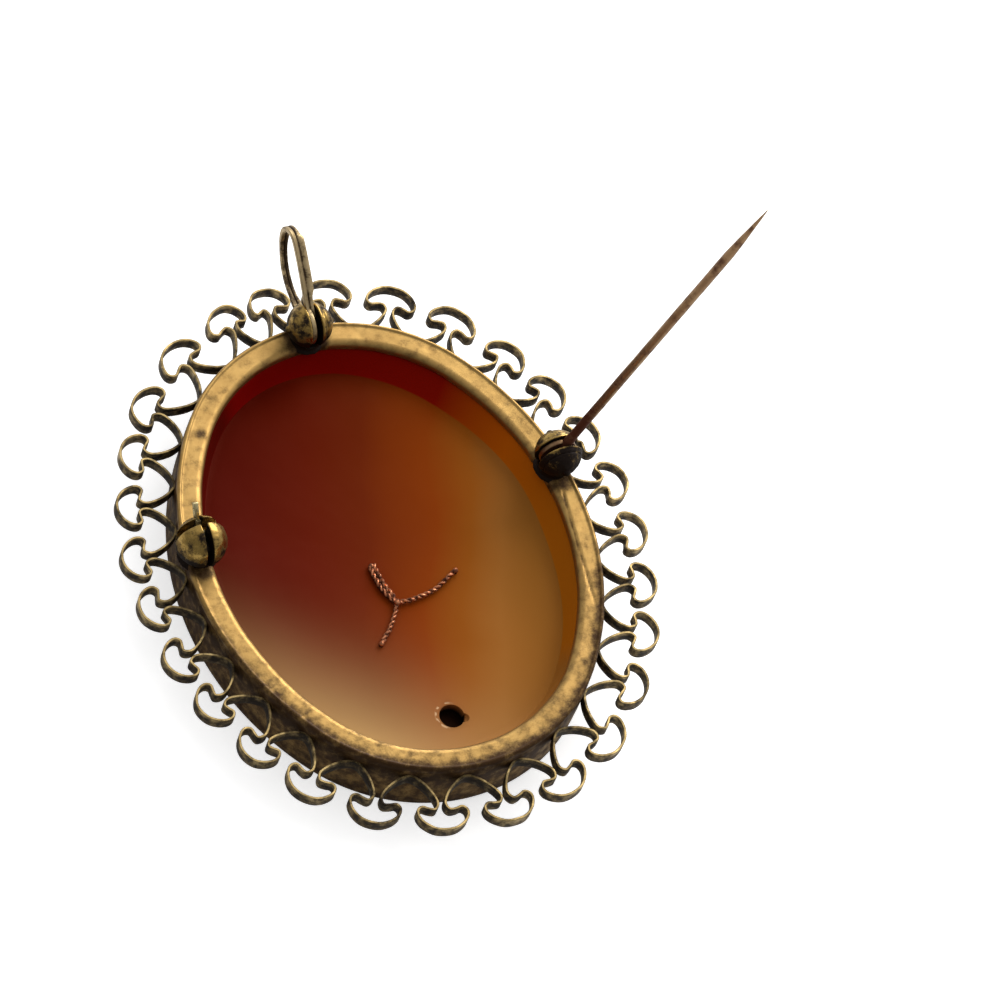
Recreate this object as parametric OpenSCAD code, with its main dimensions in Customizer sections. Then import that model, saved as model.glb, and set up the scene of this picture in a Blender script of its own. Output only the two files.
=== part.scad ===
/* [Oval frame] */
// Length of the oval opening in the back
opening_l = 38; // [36:0.1:42]
// Width of the oval opening in the back
opening_w = 30; // [28:0.1:34]
// Height of the back flange's inner edge above the front rim
bezel_h = 5.4; // [4.8:0.1:7]
// Width of the back flange
flange_w = 2.15; // [1.8:0.05:2.8]
// Thickness of the back flange
flange_t = 0.45; // [0.3:0.05:0.6]
// Rise of the flange's crown above its inner edge
crown_h = 0.55; // [0.2:0.05:0.9]
// Thickness of the bezel wall
wall_t = 0.45; // [0.3:0.05:0.6]
// Width of the turned-in front lip
lip_w = 1.2; // [0.9:0.05:1.5]
// Thickness of the turned-in front lip at its inner edge
lip_t = 0.4; // [0.3:0.05:0.6]
// Height of the lip's back face above the front rim
lip_h = 1.6; // [1.4:0.05:1.8]

/* [Scroll gallery] */
// Number of scrolls around the frame
scrolls = 28; // [20:1:32]
// Reach of the scrolls beyond the bezel wall
gallery_w = 4.9; // [4:0.1:6]
// Thickness of the ribbon
ribbon_t = 0.3; // [0.25:0.05:0.5]
// Depth of the ribbon
ribbon_h = 1.3; // [0.8:0.05:2]
// Drop from the flange's inner edge to the ribbon's back edge
ribbon_drop = 0.6; // [0.3:0.05:1.2]
// Place of the first scroll after the top, in even steps
first_scroll = 0.66; // [0.4:0.01:0.8]
// Step from scroll to scroll, in even steps
scroll_step = 1.013; // [1:0.001:1.015]

/* [Cameo] */
// Side clearance of the shell in the bezel
shell_gap = 0.1; // [0.05:0.01:0.2]
// Clearance of the shell under the flange and over the front rim
seat_gap = 0.06; // [0.03:0.01:0.15]
// Width of the steep edge of the hollow
hollow_edge_w = 1.3; // [0.8:0.05:2]
// Depth of the hollow at the foot of its steep edge
hollow_edge_h = 1.7; // [1:0.05:2]
// Radius of the shallow bowl in the hollow's floor
bowl_r = 120; // [100:1:200]
// Height of the carved ground above the front rim's plane, at the middle
ground_h = 1.15; // [1.1:0.01:1.3]
// Radius of the ground's dome
dome_r = 300; // [250:1:400]
// Radius of the drilled hole
drill_r = 1.05; // [0.6:0.05:1.2]
// Depth of the drilled hole
drill_h = 0.9; // [0.5:0.05:1]
// Distance of the drilled hole below the middle
drill_y = 15.1; // [14.6:0.1:15.4]
// Height of the figure's head, from chin to crown
head_h = 12; // [10.5:0.1:12.5]

/* [Joint balls] */
// Radius of the ball that carries the bail
bail_ball_r = 1.9; // [1.7:0.05:2.2]
// Radius of the ball that carries the pin
pin_ball_r = 1.95; // [1.75:0.05:2.2]
// Height of the balls' centres above the flange's inner edge
ball_h = 2.3; // [2.2:0.05:2.6]
// Width of the slot between the halves of a ball
slot_w = 0.9; // [0.85:0.01:1.1]
// Depth of the slot below the ball's centre
slot_h = 1.4; // [1.2:0.05:1.5]
// Radius of the rivets
rivet_r = 0.3; // [0.2:0.01:0.4]
// Running clearance on the rivets
rivet_gap = 0.05; // [0.03:0.01:0.08]
// Side clearance of what turns in a slot
side_gap = 0.05; // [0.03:0.01:0.08]
// Distance of the pin ball above the middle
pin_ball_y = 3.44; // [0:0.1:5]

/* [Pin] */
// Radius of the pin wire
pin_r = 0.385; // [0.3:0.005:0.39]
// Length of the pin from its rivet to its tip
pin_l = 34.5; // [34.2:0.1:36]
// Height of the pin's square shank beside its eye
shank_h = 0.86; // [0.8:0.02:1]
// Length of the shank from the rivet
shank_l = 2.4; // [2.2:0.1:4]
// Length of the pin's tapered tip
tip_l = 6; // [3:0.1:8]
// Radius of the pin's eye
pin_eye_r = 1; // [0.8:0.05:1.05]
// Angle of the open pin from its closed place
pin_open = 106.4; // [60:0.1:118]

/* [Bail] */
// Length of the bail from its rivet to its top
bail_l = 8.3; // [7:0.1:10]
// Width of the bail across its loop
bail_w = 4.6; // [3.6:0.1:4.8]
// Width of the bail's strip
strip_w = 0.76; // [0.6:0.02:0.8]
// Thickness of the bail's strip
strip_t = 0.42; // [0.3:0.02:0.6]
// Angle of the bail above the flange
bail_lift = 24.4; // [15:0.1:60]

/* [Catch] */
// Radius of the catch's ball
catch_r = 2.1; // [2:0.05:2.3]
// Distance of the catch above the middle
catch_y = 3; // [0:0.1:5]
// Offset of the pin's seat from the ball's centre
seat_off = 0.85; // [0.6:0.05:0.9]
// Outer radius of the turning ring
ring_r = 0.95; // [0.85:0.01:1]
// Length of the lever tab from the ring's centre
tab_l = 2.6; // [2:0.05:3]
// Thickness of the lever tab
tab_t = 0.36; // [0.25:0.01:0.4]
// Angle of the lever tab above the flange when open
tab_a = 50; // [44:1:52]
// Clearance around the pin in its seat
pin_seat_gap = 0.05; // [0.03:0.01:0.08]

/* [Wire tie] */
// Radius of a leg of the twisted wire
wire_r = 0.2; // [0.12:0.01:0.24]
// Clearance between the wire and the shell
wire_gap = 0.05; // [0.03:0.01:0.1]
// Radius of the bead at the end of a leg
wire_bead_r = 0.42; // [0.34:0.02:0.5]

/* [Hidden] */
$fn = 48;

// The oval is drawn with a 3-4-5 triangle, whose unit is a quarter of length less width
// Its two ends have radius end_r, its two sides have radius side_r
half_l = opening_l / 2;
half_w = opening_w / 2;
unit = (opening_l - opening_w) / 4;
end_r = half_w - unit;
side_r = end_r + 5 * unit;
end_y = 3 * unit;
side_x = 4 * unit;
side_a = atan2(3, 4);
end_arc = (90 - side_a) * PI / 180 * end_r;
side_arc = side_a * PI / 180 * side_r;
quarter = end_arc + side_arc;
perimeter = 4 * quarter;

wall_in = flange_w - wall_t;
lip_in = flange_w - lip_w;
ball_z = bezel_h + ball_h;
back_z = bezel_h - flange_t;

// A point at run s around the upper right quarter, moved outwards by d
function quarter_point(s, d) =
    s < end_arc
    ? let (a = 90 - s / end_r * 180 / PI)
        [(end_r + d) * cos(a), end_y + (end_r + d) * sin(a)]
    : let (a = side_a - (s - end_arc) / side_r * 180 / PI)
        [(side_r + d) * cos(a) - side_x, (side_r + d) * sin(a)];

// The point at run s clockwise from the top, as seen from the back, moved outwards by d
function oval_point(s, d) =
    let (
        run = s - perimeter * floor(s / perimeter),
        turn = min(3, floor(run / quarter)),
        part = run - turn * quarter,
        p = quarter_point(turn % 2 == 0 ? part : quarter - part, d)
    )
    [p.x * (turn < 2 ? 1 : -1), p.y * (turn == 0 || turn == 3 ? 1 : -1)];

// The place on the frame's side arc at height y, moved outwards by d
function side_place(y, d) = sqrt(pow(side_r + d, 2) - y * y) - side_x;

// A smooth closed curve through the points of a list, with some steps to each stretch
function curve_at(p, i, t) =
    let (
        n = len(p),
        a = p[(i + n - 1) % n],
        b = p[i],
        c = p[(i + 1) % n],
        d = p[(i + 2) % n]
    )
    0.5 * (2 * b + (c - a) * t + (2 * a - 5 * b + 4 * c - d) * t * t
        + (3 * b - a - 3 * c + d) * t * t * t);
function smooth_loop(p, steps) =
    [for (i = [0:len(p) - 1], k = [0:steps - 1]) curve_at(p, i, k / steps)];

// A closed line moved sideways by w
function loop_side(p, w) =
    let (n = len(p))
    [for (i = [0:n - 1])
        let (t = p[(i + 1) % n] - p[(i + n - 1) % n], m = norm(t))
        p[i] + w * [-t.y, t.x] / m];

// A band of width w along a closed line
module band(p, w) {
    n = len(p);
    a = loop_side(p, w / 2);
    b = loop_side(p, -w / 2);
    polygon(concat(a, b), [[for (i = [0:n - 1]) i], [for (i = [0:n - 1]) n + i]]);
}

// A section swept once around the oval, as four exact sectors cut on the triangle's sides
module around_oval(section) {
    far = 4 * half_l;
    top = 4 * bezel_h;
    for (turn = [0, 180]) {
        rotate([0, 0, turn])
        intersection() {
            translate([-side_x, 0, 0])
            rotate_extrude($fn = 180)
            translate([side_r, 0])
            polygon(section);
            translate([0, 0, -top])
            linear_extrude(2 * top)
            polygon([[-side_x, 0], [4 * far, end_y + 3 * far], [4 * far, -end_y - 3 * far]]);
        }
        rotate([0, 0, turn])
        intersection() {
            translate([0, end_y, 0])
            rotate_extrude($fn = 180)
            translate([end_r, 0])
            polygon(section);
            translate([0, 0, -top])
            linear_extrude(2 * top)
            polygon([[0, end_y], [4 * far, end_y + 3 * far], [-4 * far, end_y + 3 * far]]);
        }
    }
}

// A flat oval plate, d wider than the opening all round
module oval_plate(d, h) {
    steps = 96;
    linear_extrude(h)
    polygon([for (i = [0:steps - 1]) oval_point(i * perimeter / steps, d)]);
}

// The bezel, from its crowned back flange to its turned-in front lip
module bezel() {
    edge = 0.12;
    crest = flange_w - 0.4;
    foot = flange_w - 2 * edge;
    around_oval([
        [0, back_z],
        [0, bezel_h - edge],
        [edge, bezel_h],
        [crest * 0.45, bezel_h + crown_h * 0.5],
        [crest * 0.8, bezel_h + crown_h * 0.88],
        [crest, bezel_h + crown_h],
        [crest + 0.22, bezel_h + crown_h * 0.85],
        [flange_w - 0.04, bezel_h + crown_h * 0.4],
        [flange_w, bezel_h - edge],
        [flange_w, edge * 2],
        [foot, 0],
        [foot - lip_w * 0.25, 0],
        [lip_in, lip_h - lip_t],
        [lip_in, lip_h],
        [wall_in, lip_h],
        [wall_in, back_z + crown_h * 0.8],
        [crest * 0.45, back_z + crown_h * 0.4]
    ]);
}

// Half of one scroll, from the crown to the foot of the cup beside it
// Columns: run from the scroll's middle in steps, reach as a share of the gallery's width
SCROLL = [
    [0.000, 1.000],
    [0.170, 0.970],
    [0.320, 0.865],
    [0.415, 0.735],
    [0.425, 0.620],
    [0.350, 0.560],
    [0.230, 0.590],
    [0.120, 0.600],
    [0.062, 0.510],
    [0.078, 0.395],
    [0.165, 0.235],
    [0.310, 0.085],
    [0.500, 0.000]
];

// The middles of the scrolls, in even steps from the top: the last one fills what is left
function scroll_place(i) =
    i < 0 ? scroll_place(i + scrolls) - scrolls
    : i >= scrolls ? scroll_place(i - scrolls) + scrolls
    : i == scrolls - 1 ? scrolls - 0.3
    : first_scroll + i * scroll_step;

// The ribbon's middle line, once around the frame
function ribbon_line() =
    let (
        seat = flange_w + ribbon_t / 2 - 0.08,
        reach = gallery_w - ribbon_t + 0.08,
        even = perimeter / scrolls,
        last = len(SCROLL) - 1
    )
    [for (i = [0:scrolls - 1])
        let (
            here = scroll_place(i),
            back = here - scroll_place(i - 1),
            ahead = scroll_place(i + 1) - here
        )
        each concat(
            [for (k = [last:-1:1])
                oval_point((here - SCROLL[k][0] * back) * even, seat + SCROLL[k][1] * reach)],
            [for (k = [0:last - 1])
                oval_point((here + SCROLL[k][0] * ahead) * even, seat + SCROLL[k][1] * reach)])];

// The pierced gallery: one ribbon bent into scrolls
module gallery() {
    translate([0, 0, bezel_h - ribbon_drop - ribbon_h])
    linear_extrude(ribbon_h)
    band(ribbon_line(), ribbon_t);
}

// A ball on a short foot
module footed_ball(r) {
    sphere(r);
    translate([0, 0, -ball_h])
    cylinder(h = ball_h, r = r * 0.68);
}

// A footed ball split down to a depth by a slot, with a rivet across the slot
// The rivet lies along the module's own Y axis
module split_ball(r, depth) {
    difference() {
        footed_ball(r);
        translate([-2 * r, -slot_w / 2, -depth])
        cube([4 * r, slot_w, 3 * r]);
    }
    rotate([90, 0, 0])
    cylinder(h = slot_w + r, r = rivet_r, center = true);
}

// Where the findings stand, and the small turn that points the pin at its seat
bail_y = half_l + flange_w / 2;
pin_x = side_place(pin_ball_y, flange_w / 2);
catch_x = -side_place(catch_y, flange_w / 2);
pin_turn = atan2(catch_y + seat_off - pin_ball_y, pin_x - catch_x);

module bail_ball() {
    translate([0, bail_y, ball_z])
    rotate([0, 0, 90])
    split_ball(bail_ball_r, slot_h);
}

module pin_ball() {
    translate([pin_x, pin_ball_y, ball_z])
    rotate([0, 0, -pin_turn])
    split_ball(pin_ball_r, slot_h);
}

// Radius of the pin where it enters the catch
pin_span = norm([pin_x - catch_x, catch_y + seat_off - pin_ball_y]);
seat_pin_r = min(pin_r, pin_r * (pin_l - pin_span + catch_r) / tip_l);
seat_r = seat_pin_r + pin_seat_gap;
mouth_r = seat_pin_r + pin_seat_gap * 0.6;
ring_gap = 0.06;

// The catch's ball, with its slot, the ring's pocket and the pin's seat
module catch_body() {
    r = catch_r;
    translate([catch_x, catch_y, ball_z])
    rotate([90, 0, 90])
    difference() {
        rotate([-90, 0, 0])
        footed_ball(r);
        translate([0, 0, -slot_w / 2])
        linear_extrude(slot_w)
        union() {
            translate([seat_off, 0])
            circle(ring_r + ring_gap);
            translate([-2 * r, r * 0.2])
            square([4 * r, 2 * r]);
            translate([-2 * r, -r * 0.8])
            square([r * 1.5, 2 * r]);
        }
        translate([seat_off, 0, 0])
        cylinder(h = 4 * r, r = seat_r, center = true);
        translate([seat_off - mouth_r, 0, -2 * r])
        cube([2 * mouth_r, 2 * r, 4 * r]);
    }
}

module setting() {
    color("#b8903f")
    union() {
        bezel();
        gallery();
        bail_ball();
        pin_ball();
        catch_body();
    }
}

// The pin lies along the module's own X axis and is then opened on its rivet
module pin_stem() {
    eye_t = slot_w - 2 * side_gap;
    color("#8a6a35")
    translate([pin_x, pin_ball_y, ball_z])
    rotate([0, 0, 180 - pin_turn])
    rotate([0, -pin_open, 0])
    difference() {
        union() {
            rotate([90, 0, 0])
            cylinder(h = eye_t, r = pin_eye_r, center = true);
            translate([0, -eye_t / 2, -shank_h / 2])
            cube([shank_l, eye_t, shank_h]);
            rotate([0, 90, 0])
            cylinder(h = pin_l - tip_l, r = pin_r);
            translate([pin_l - tip_l, 0, 0])
            rotate([0, 90, 0])
            cylinder(h = tip_l, r1 = pin_r, r2 = 0.04);
        }
        rotate([90, 0, 0])
        cylinder(h = 4 * pin_r + eye_t, r = rivet_r + rivet_gap, center = true);
    }
}

// The loop's middle line, as seen along the rivet
// Columns: share of the bail's length, share of its width away from the flange
BAIL = [
    [0.060, 0.120],
    [0.200, 0.210],
    [0.400, 0.300],
    [0.620, 0.370],
    [0.840, 0.400],
    [0.940, 0.270],
    [0.975, 0.030],
    [0.900, -0.230],
    [0.780, -0.420],
    [0.620, -0.550],
    [0.430, -0.550],
    [0.260, -0.420],
    [0.110, -0.240]
];

module bail() {
    eye_t = slot_w - 2 * side_gap;
    line = smooth_loop([for (p = BAIL) [p[0] * bail_l, p[1] * bail_w]], 3);
    color("#a08350")
    translate([0, bail_y, ball_z])
    rotate([bail_lift, 0, 0])
    rotate([90, 0, 90])
    difference() {
        union() {
            cylinder(h = eye_t, r = pin_eye_r, center = true);
            translate([0, 0, -strip_w / 2])
            linear_extrude(strip_w)
            band(line, strip_t);
        }
        cylinder(h = 2 * eye_t, r = rivet_r + rivet_gap, center = true);
    }
}

// The ring's mouth faces up when open, and its tab leans towards the top of the brooch
module catch_ring() {
    ring_t = slot_w - 2 * side_gap;
    color("#a98f5a")
    translate([catch_x, catch_y + seat_off, ball_z])
    rotate([90, 0, 90])
    difference() {
        union() {
            cylinder(h = ring_t, r = ring_r, center = true);
            rotate([0, 0, tab_a])
            translate([ring_r * 0.7, -tab_t / 2, -ring_t / 2])
            cube([tab_l - ring_r * 0.7, tab_t, ring_t]);
        }
        cylinder(h = 2 * ring_t, r = seat_r, center = true);
        translate([-mouth_r, 0, -ring_t])
        cube([2 * mouth_r, 2 * ring_r, 2 * ring_t]);
    }
}

// Height of the hollow's floor at distance r from the middle
edge_z = back_z - seat_gap - hollow_edge_h;
bowl_rim = half_w - hollow_edge_w;
bowl_z = edge_z + sqrt(bowl_r * bowl_r - bowl_rim * bowl_rim);
function floor_z(r) = min(edge_z, bowl_z - sqrt(bowl_r * bowl_r - r * r));

// The hollow in the back of the shell
module hollow() {
    foot = hollow_edge_w;
    inner = foot + 1.2;
    translate([0, 0, edge_z])
    oval_plate(-foot - 0.4, hollow_edge_h + 1);
    around_oval([
        [-inner, edge_z],
        [-foot, edge_z],
        [-foot * 0.8, edge_z + hollow_edge_h * 0.1],
        [-foot * 0.35, edge_z + hollow_edge_h * 0.62],
        [0.1, edge_z + hollow_edge_h],
        [0.1, edge_z + hollow_edge_h + 1],
        [-inner, edge_z + hollow_edge_h + 1]
    ]);
    translate([0, 0, bowl_z])
    sphere(bowl_r, $fn = 200);
}

// The face's outline from the crown forward to the throat, and back up the neck
// Columns: shares of the head's height, ahead of the ear and above the chin
HEAD = [
    [-0.05, 1.00], [0.15, 0.98], [0.28, 0.90], [0.365, 0.78], [0.385, 0.69], [0.365, 0.62],
    [0.405, 0.53], [0.462, 0.435], [0.445, 0.40], [0.385, 0.385], [0.392, 0.35], [0.415, 0.31],
    [0.385, 0.283], [0.405, 0.245], [0.365, 0.20], [0.385, 0.12], [0.345, 0.03], [0.25, -0.005],
    [0.11, 0.03], [0.05, -0.10], [0.05, -0.30], [-0.30, -0.30], [-0.30, 0.05], [-0.42, 0.35],
    [-0.43, 0.66], [-0.28, 0.92]
];

// The bust's outline, from the neck's front around the drapery and up to the nape
BUST = [
    [0.04, -0.12], [0.06, -0.30], [0.16, -0.44], [0.34, -0.55], [0.44, -0.72], [0.40, -0.92],
    [0.22, -1.08], [-0.02, -1.16], [-0.30, -1.14], [-0.56, -1.02], [-0.74, -0.84], [-0.80, -0.64],
    [-0.66, -0.48], [-0.44, -0.36], [-0.31, -0.20], [-0.28, -0.05]
];

// The hair's outline over the head, down to the knot at the nape
HAIR = [
    [0.30, 0.88], [0.16, 1.03], [-0.06, 1.08], [-0.28, 1.03], [-0.46, 0.88], [-0.54, 0.68],
    [-0.66, 0.60], [-0.76, 0.42], [-0.68, 0.24], [-0.50, 0.18], [-0.36, 0.22], [-0.26, 0.12],
    [-0.16, 0.24], [-0.10, 0.42], [0.02, 0.52], [0.16, 0.62], [0.24, 0.74]
];

// The curls along the hair's edge
// Columns: place ahead of the ear and above the chin, and radius, as shares of the head's height
CURLS = [
    [0.26, 0.82, 0.070], [0.20, 0.69, 0.072], [0.09, 0.60, 0.072], [-0.03, 0.50, 0.075],
    [-0.12, 0.36, 0.070], [-0.19, 0.22, 0.066]
];

head_y = 14 - head_h;

// A carved mass: an outline raised above the ground under a shallow dome
// The dome's radius is a multiple of the head's height
module carved(outline, middle, top, dome) {
    round_r = dome * head_h;
    intersection() {
        translate([0, 0, -ground_h])
        linear_extrude(2 * ground_h)
        polygon(smooth_loop([for (p = outline) p * head_h], 2));
        translate([middle.x * head_h, middle.y * head_h, top - round_r])
        sphere(round_r, $fn = 160);
    }
}

// A bust in profile, in the front's own view: X to its right, Z towards the viewer
// The hair's crown stays relief_gap behind the front rim's plane
relief_gap = 0.12;
relief_h = ground_h - relief_gap;
module relief() {
    translate([0, head_y, 0]) {
        carved(BUST, [-0.15, -0.70], relief_h * 0.65, 4.4);
        carved(HEAD, [0.00, 0.50], relief_h * 0.8, 2.8);
        carved(HAIR, [-0.20, 0.62], relief_h, 3.4);
        for (c = CURLS) {
            translate([c.x * head_h, c.y * head_h, relief_h - c[2] * head_h])
            sphere(c[2] * head_h, $fn = 32);
        }
    }
}

// Where the legs of the wire tie meet and where they pass through the shell
TIE_MIDDLE = [-0.4, -4];
TIE_ENDS = [[-1.2, -0.2], [5.4, -2.4], [-3.1, -7.3]];
bead_z = relief_gap + wire_bead_r;

// The shell's edge lies behind the lip, and its domed ground stands inside the lip
module cameo() {
    color("#9a4a22")
    difference() {
        union() {
            translate([0, 0, lip_h + seat_gap])
            oval_plate(wall_in - shell_gap, back_z - lip_h - 2 * seat_gap);
            intersection() {
                oval_plate(lip_in - shell_gap, lip_h + 2 * seat_gap);
                translate([0, 0, ground_h + dome_r])
                sphere(dome_r, $fn = 200);
            }
            translate([0, 0, ground_h])
            rotate([0, 180, 0])
            relief();
        }
        hollow();
        translate([0, -drill_y, floor_z(drill_y) - drill_h])
        cylinder(h = 4, r = drill_r);
        for (e = TIE_ENDS) {
            translate([e.x, e.y, -1])
            cylinder(h = 8, r = wire_r + wire_gap);
            translate([e.x, e.y, bead_z])
            sphere(wire_bead_r + wire_gap);
        }
    }
}

// A straight rod from a to b
module rod(a, b, r) {
    d = b - a;
    translate(a)
    rotate([0, acos(d.z / norm(d)), atan2(d.y, d.x)])
    cylinder(h = norm(d), r = r);
}

// A turned knot of radius r
module knot(r) {
    rotate_extrude()
    polygon([for (a = [-90:22.5:90]) [r * cos(a), r * sin(a)]]);
}

// Three twisted legs that meet on the hollow's floor, each with a bead at its far end
module wire_tie() {
    lift = wire_r + wire_gap;
    knot_r = wire_r * 1.6;
    m = [TIE_MIDDLE.x, TIE_MIDDLE.y, floor_z(norm(TIE_MIDDLE)) + knot_r + wire_gap];
    color("#b06a48")
    union() {
        translate(m)
        knot(knot_r);
        for (e = TIE_ENDS) {
            bend = [e.x, e.y, floor_z(norm(e)) + lift * 1.2];
            rod(m, bend, wire_r);
            translate(bend)
            knot(wire_r * 1.2);
            rod(bend, [e.x, e.y, bead_z], wire_r);
            translate([e.x, e.y, bead_z])
            knot(wire_bead_r);
        }
    }
}

setting();
cameo();
pin_stem();
bail();
catch_ring();
wire_tie();
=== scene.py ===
"""The looks of an oval shell cameo brooch, which lies face down with its back up.

Sizes in the classes are millimetres, and each finished mesh is brought to metres.
+X points to the pin's joint, +Y to the bail at the top of the brooch, +Z out of its back.
"""
import logging
import math
import random
from collections.abc import Callable, Iterator, Sequence
from contextlib import contextmanager
from dataclasses import dataclass
from enum import Enum

import bmesh
import bpy
import numpy as np
from mathutils import Matrix, Vector, noise


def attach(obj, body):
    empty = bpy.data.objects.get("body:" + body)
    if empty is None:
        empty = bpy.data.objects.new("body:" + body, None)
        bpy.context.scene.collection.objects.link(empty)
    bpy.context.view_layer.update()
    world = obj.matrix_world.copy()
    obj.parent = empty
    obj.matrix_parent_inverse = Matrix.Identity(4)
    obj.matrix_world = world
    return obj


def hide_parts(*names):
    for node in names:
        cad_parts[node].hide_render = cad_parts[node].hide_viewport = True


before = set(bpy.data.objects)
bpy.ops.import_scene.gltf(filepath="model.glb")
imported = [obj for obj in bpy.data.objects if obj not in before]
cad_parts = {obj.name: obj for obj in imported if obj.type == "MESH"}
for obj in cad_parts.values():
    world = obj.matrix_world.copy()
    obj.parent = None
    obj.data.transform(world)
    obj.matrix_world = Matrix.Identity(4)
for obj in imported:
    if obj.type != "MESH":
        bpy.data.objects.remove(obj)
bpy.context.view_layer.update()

LOG = logging.getLogger("brooch")
MM = 0.001
# The mask on a piece's vertices that its material reads: real tarnish together with painted shade, and
# painted highlights where it is kept low
GRIME_AND_SHADE = "grime_and_shade"
SMOOTH_ANGLE = math.radians(40)
# Cell size and smoothing passes of the skin over soldered shapes
SKIN_CELL = 0.055
SKIN_PASSES = 2

Colour = tuple[float, float, float]
Piece = bpy.types.Object
Socket = bpy.types.NodeSocket


class Body(Enum):
    """The bodies that pieces ride on."""

    FRAME = "frame"
    PIN = "pin"
    BAIL = "bail"
    CATCH = "catch_ring"


class Metal(Enum):
    """The record's material slots."""

    GILT = "gilt_frame"
    SHELL = "shell"
    PIN = "pin_metal"
    BAIL = "bail_metal"
    CATCH = "catch_metal"
    TIE = "tie_wire"


class Axis(Enum):
    """The axes that a rod can lie along, each with the turn that brings an upright rod there."""

    X = (0.0, math.pi / 2, 0.0)
    Y = (-math.pi / 2, 0.0, 0.0)
    Z = (0.0, 0.0, 0.0)


def srgb(red: int, green: int, blue: int) -> Colour:
    """Turns a colour with parts from 0 to 255, as the eye sees it, into the shader's linear one."""
    shares = (red / 255, green / 255, blue / 255)
    return tuple(s / 12.92 if s <= 0.04045 else ((s + 0.055) / 1.055) ** 2.4 for s in shares)


# Modelling helpers


def deselect() -> None:
    """Deselects every object."""
    bpy.ops.object.select_all(action="DESELECT")


def activate(piece: Piece) -> None:
    """Makes one piece the only selected and the active one.

    Args:
        piece: The piece to work on.
    """
    deselect()
    piece.select_set(True)
    bpy.context.view_layer.objects.active = piece


@contextmanager
def editing(piece: Piece) -> Iterator[None]:
    """Keeps a piece in edit mode for the length of a with block.

    Args:
        piece: The piece to edit.
    """
    activate(piece)
    bpy.ops.object.mode_set(mode="EDIT")
    yield
    bpy.ops.object.mode_set(mode="OBJECT")


def modify(piece: Piece, kind: str, **settings: object) -> None:
    """Adds a modifier to a piece and applies it.

    Args:
        piece: The piece to change.
        kind: Blender's name for the modifier.
        settings: The modifier's own settings.
    """
    activate(piece)
    modifier = piece.modifiers.new(kind.title(), kind)
    for name, value in settings.items():
        setattr(modifier, name, value)
    bpy.ops.object.modifier_apply(modifier=modifier.name)


def loft(name: str, rings: Sequence[Sequence[Vector]], closed: bool = False) -> Piece:
    """Extrudes a ring from place to place.

    Args:
        name: The new piece's name.
        rings: The points of each ring, all of the same number.
        closed: Whether the last ring joins the first. If not, both ends are filled.

    Returns:
        The new piece, with its faces outwards.
    """
    deselect()
    bpy.ops.mesh.primitive_circle_add(vertices=len(rings[0]), radius=1.0, fill_type="NOTHING")
    piece = bpy.context.object
    piece.name = name
    with editing(piece):
        bpy.ops.mesh.select_all(action="SELECT")
        mesh = bmesh.from_edit_mesh(piece.data)
        station = mesh.verts.layers.int.new("station")
        for index, vertex in enumerate(mesh.verts):
            vertex[station] = index
            vertex.co = rings[0][index]
        bmesh.update_edit_mesh(piece.data)
        steps = list(rings[1:]) + ([rings[0]] if closed else [])
        for ring in steps:
            bpy.ops.mesh.extrude_region_move()
            mesh = bmesh.from_edit_mesh(piece.data)
            station = mesh.verts.layers.int["station"]
            for vertex in mesh.verts:
                if vertex.select:
                    vertex.co = ring[vertex[station]]
            bmesh.update_edit_mesh(piece.data)
        bpy.ops.mesh.select_all(action="SELECT")
        bpy.ops.mesh.remove_doubles(threshold=0.0005)
        if not closed:
            bpy.ops.mesh.fill_holes(sides=0)
        bpy.ops.mesh.select_all(action="SELECT")
        bpy.ops.mesh.normals_make_consistent(inside=False)
    piece.data.attributes.remove(piece.data.attributes["station"])
    return piece


def tube(name: str, line: Sequence[Vector], radii: Sequence[float], sides: int = 12) -> Piece:
    """Lofts a round rod along a line.

    Args:
        name: The new piece's name.
        line: The points that the rod follows.
        radii: The rod's radius at each point.
        sides: The number of sides of the rod.

    Returns:
        The new piece.
    """
    turns = [2 * math.pi * side / sides for side in range(sides)]
    rings = []
    across = None
    for index, (point, radius) in enumerate(zip(line, radii)):
        ahead = line[min(index + 1, len(line) - 1)] - line[max(index - 1, 0)]
        if across is None:
            across = ahead.orthogonal().normalized()
        across = (across - ahead * (across.dot(ahead) / ahead.length_squared)).normalized()
        up = ahead.cross(across).normalized()
        rings.append([point + radius * (across * math.cos(turn) + up * math.sin(turn)) for turn in turns])
    return loft(name, rings)


def join(name: str, pieces: Sequence[Piece]) -> Piece:
    """Joins pieces into one.

    Args:
        name: The joined piece's name.
        pieces: The pieces to join.

    Returns:
        The joined piece.
    """
    activate(pieces[0])
    for piece in pieces[1:]:
        piece.select_set(True)
    if len(pieces) > 1:
        bpy.ops.object.join()
    pieces[0].name = name
    return pieces[0]


def cut(piece: Piece, cutter: Piece) -> None:
    """Cuts one piece out of another and removes the cutter."""
    modify(piece, "BOOLEAN", operation="DIFFERENCE", solver="EXACT", object=cutter)
    bpy.data.objects.remove(cutter, do_unlink=True)


def fuse(piece: Piece) -> None:
    """Melts overlapping shapes into one skin with softened corners, as solder and wear do."""
    modify(piece, "REMESH", mode="VOXEL", voxel_size=SKIN_CELL, use_smooth_shade=True)
    modify(piece, "SMOOTH", factor=0.5, iterations=SKIN_PASSES)


def ball(radius: float, centre: Vector, segments: int = 48) -> Piece:
    """Adds a ball.

    Args:
        radius: The ball's radius.
        centre: The ball's middle.
        segments: The number of segments round it.

    Returns:
        The new piece.
    """
    deselect()
    bpy.ops.mesh.primitive_uv_sphere_add(
        segments=segments, ring_count=segments // 2, radius=radius, location=centre)
    return bpy.context.object


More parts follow.
